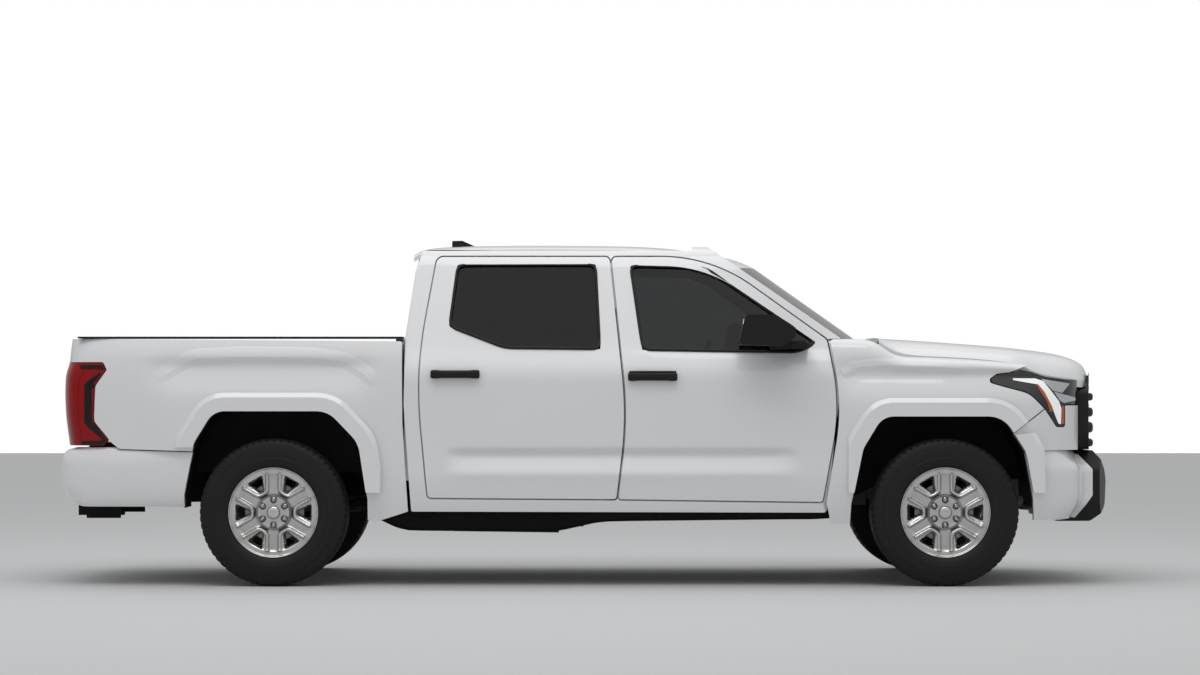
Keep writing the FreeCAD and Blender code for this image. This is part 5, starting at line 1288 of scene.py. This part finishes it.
    def build(self) -> None:
        """Builds all trim pieces."""
        self.pressing("bed_pressings", self.bed_crease, "bed_sides", 0.062, (18, 18))
        self.pressing("fender_pressings", self.fender_crease, "front_fenders", 0.042, (8, 30))
        self.cheeks()
        for side in SIDES:
            for door in HANDLES:
                self.handle(door, side)
                self.seal(door, side)
        self.wipers()
        self.shade_sills()
        self.grille()
        self.plates()


# Cabin
@dataclass
class Cabin:
    """Seats as crowned cushions with sewn channels.

    Attributes:
        seams: shares of a seat's half width that carry a seam.
        bench_seams: the same of the bench.
        head_crown: boxiness of the head rests.
        seat_crown: boxiness of the seats.
        bench_crown: boxiness of the bench.
        seat_fill: how tight seats are stuffed; not used.
        head_fill: how tight head rests are stuffed; not used.
        head_count: points along a head rest.
        bench_count: points along the bench.
    """

    seams: Tuple[float, float] = (-0.55, 0.55)
    bench_seams: Tuple[float, float] = (-0.36, 0.36)
    head_crown: float = 4.0
    seat_crown: float = 5.0
    bench_crown: float = 6.0
    seat_fill: float = 0.7
    head_fill: float = 0.8
    head_count: int = 28
    bench_count: int = 48

    def pad(self, name: str, points: np.ndarray) -> bpy.types.Object:
        """Makes one padded piece.

        Args:
            name: name of the piece.
            points: its grid.

        Returns:
            The piece.
        """
        piece = Shape().grid(points, close_columns=True).build(name, FABRIC, "chassis", "seat_fabric", smooth=70)
        return piece

    def build(self) -> None:
        """Builds the front seats and the rear bench."""
        first = None
        for side, name in SIDES.items():
            low, high = sorted((0.190 * side, 0.700 * side))
            base = self.pad("seat_base_" + name, cushion(
                (0.00, low, 0.775), (0.516, high, 0.915), 0.0, self.seat_crown, self.seams, 2))
            self.pad("seat_back_" + name, cushion(
                (-0.035, low + 0.01, 0.80), (0.105, high - 0.01, 1.49), 0.125, self.seat_crown, self.seams, 0))
            middle = (low + high) / 2
            self.pad("seat_head_" + name, cushion(
                (-0.160, middle - 0.13, 1.475), (-0.060, middle + 0.13, 1.654), 0.02, self.head_crown, (), 0,
                self.head_count))
            first = first or base
        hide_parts("front_seats")
        bench = self.pad("bench_base", cushion(
            (-0.80, -0.68, 0.775), (-0.371, 0.68, 0.905), 0.0, self.bench_crown, self.bench_seams, 2,
            self.bench_count))
        self.pad("bench_back", cushion(
            (-0.80, -0.68, 0.80), (-0.69, 0.68, 1.46), 0.07, self.bench_crown, self.bench_seams, 0,
            self.bench_count))
        for index, y in enumerate((-0.453, 0.0, 0.453)):
            self.pad(f"bench_head_{index}", cushion(
                (-0.872, y - 0.12, 1.44), (-0.795, y + 0.12, 1.62), 0.0, self.head_crown, (), 0,
                self.head_count))
        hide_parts("rear_bench")


# Studio
@dataclass
class Studio:
    """Floor, white surround, soft lamps and the camera.

    Attributes:
        camera_place: where the camera stands.
        camera_pitch: degrees by which it looks up.
        lens: focal length in millimetres.
        sensor: width of its sensor in millimetres.
        floor_half: half width of the floor.
        sky_heights: upward parts of a direction at which the sky is dimmest and brightest.
        sky_levels: light of the sky there.
        lamps: name, place, aim, size and watts of each soft box.
    """

    camera_place: Tuple[float, float, float] = (0.095, -18.83, 1.054)
    camera_pitch: float = 1.016
    lens: float = 97.29
    sensor: float = 36.0
    floor_half: float = 40.0
    sky_heights: Tuple[float, float] = (-0.05, 0.9)
    sky_levels: Tuple[float, float] = (0.38, 0.80)
    lamps: Tuple[tuple, ...] = (("overhead", (0.0, 0.0, 7.0), (0, 0, 0), (9.0, 5.0), 95.0),
                                ("key", (-1.0, -5.4, 9.2), (0, -0.5, 1.0), (9.0, 3.0), 225.0))

    def floor(self) -> None:
        """Pale floor."""
        corners = [(x * self.floor_half, y * self.floor_half, 0) for x, y in ((-1, -1), (1, -1), (1, 1), (-1, 1))]
        mesh = bpy.data.meshes.new("studio_floor")
        mesh.from_pydata(corners, [], [[0, 1, 2, 3]])
        mesh.materials.append(PALETTE.of(FLOOR))
        floor = bpy.data.objects.new("studio_floor", mesh)
        bpy.context.scene.collection.objects.link(floor)

    def surround(self) -> None:
        """White to the camera, a soft sky for the light: bright above, dimmer at the horizon."""
        world = bpy.data.worlds.new("studio")
        bpy.context.scene.world = world
        world.use_nodes = True
        tree = world.node_tree
        tree.nodes.clear()
        way = node(tree, "ShaderNodeTexCoord").outputs["Generated"]
        parts = node(tree, "ShaderNodeSeparateXYZ", {}, {"Vector": way})
        (low, high), (dim, bright) = self.sky_heights, self.sky_levels
        sky = node(tree, "ShaderNodeMapRange", {"From Min": low, "From Max": high, "To Min": dim, "To Max": bright},
                   {"Value": parts.outputs["Z"]})
        path = node(tree, "ShaderNodeLightPath")
        strength = node(tree, "ShaderNodeMix", {"data_type": "FLOAT", "B": 1.0},
                        {"Factor": path.outputs["Is Camera Ray"], "A": sky.outputs[0]})
        light = node(tree, "ShaderNodeBackground", {"Color": (1, 1, 1, 1)}, {"Strength": strength.outputs["Result"]})
        node(tree, "ShaderNodeOutputWorld", {}, {"Surface": light.outputs[0]})

    def lamp(self, name: str, place: Tuple[float, float, float], aim: Tuple[float, float, float],
             size: Tuple[float, float], power: float) -> None:
        """Adds a soft box.

        Args:
            name: its name.
            place: where it hangs.
            aim: point that it faces.
            size: width and height.
            power: watts.
        """
        data = bpy.data.lights.new(name, "AREA")
        data.shape, data.size, data.size_y, data.energy = "RECTANGLE", *size, power
        lamp = bpy.data.objects.new(name, data)
        bpy.context.scene.collection.objects.link(lamp)
        lamp.location = place
        lamp.rotation_euler = (Vector(aim) - Vector(place)).to_track_quat("-Z", "Y").to_euler()

    def camera(self) -> None:
        """Camera at the photograph's place."""
        data = bpy.data.cameras.new("camera")
        data.lens, data.sensor_width = self.lens, self.sensor
        camera = bpy.data.objects.new("camera", data)
        bpy.context.scene.collection.objects.link(camera)
        camera.location = self.camera_place
        camera.rotation_euler = (math.radians(90 + self.camera_pitch), 0, 0)
        bpy.context.scene.camera = camera

    def build(self) -> None:
        """Builds the studio."""
        self.floor()
        self.surround()
        for lamp in self.lamps:
            self.lamp(*lamp)
        self.camera()
        bpy.context.scene.view_settings.view_transform = "Standard"


def main() -> None:
    """Dresses the truck."""
    Studio().build()
    BodyFinisher().dress()
    for place in ("front_right", "front_left", "rear_right", "rear_left"):
        Wheel(place).build()
    Lamps().build()
    Trim().build()
    Cabin().build()


if __name__ == "__main__":
    main()
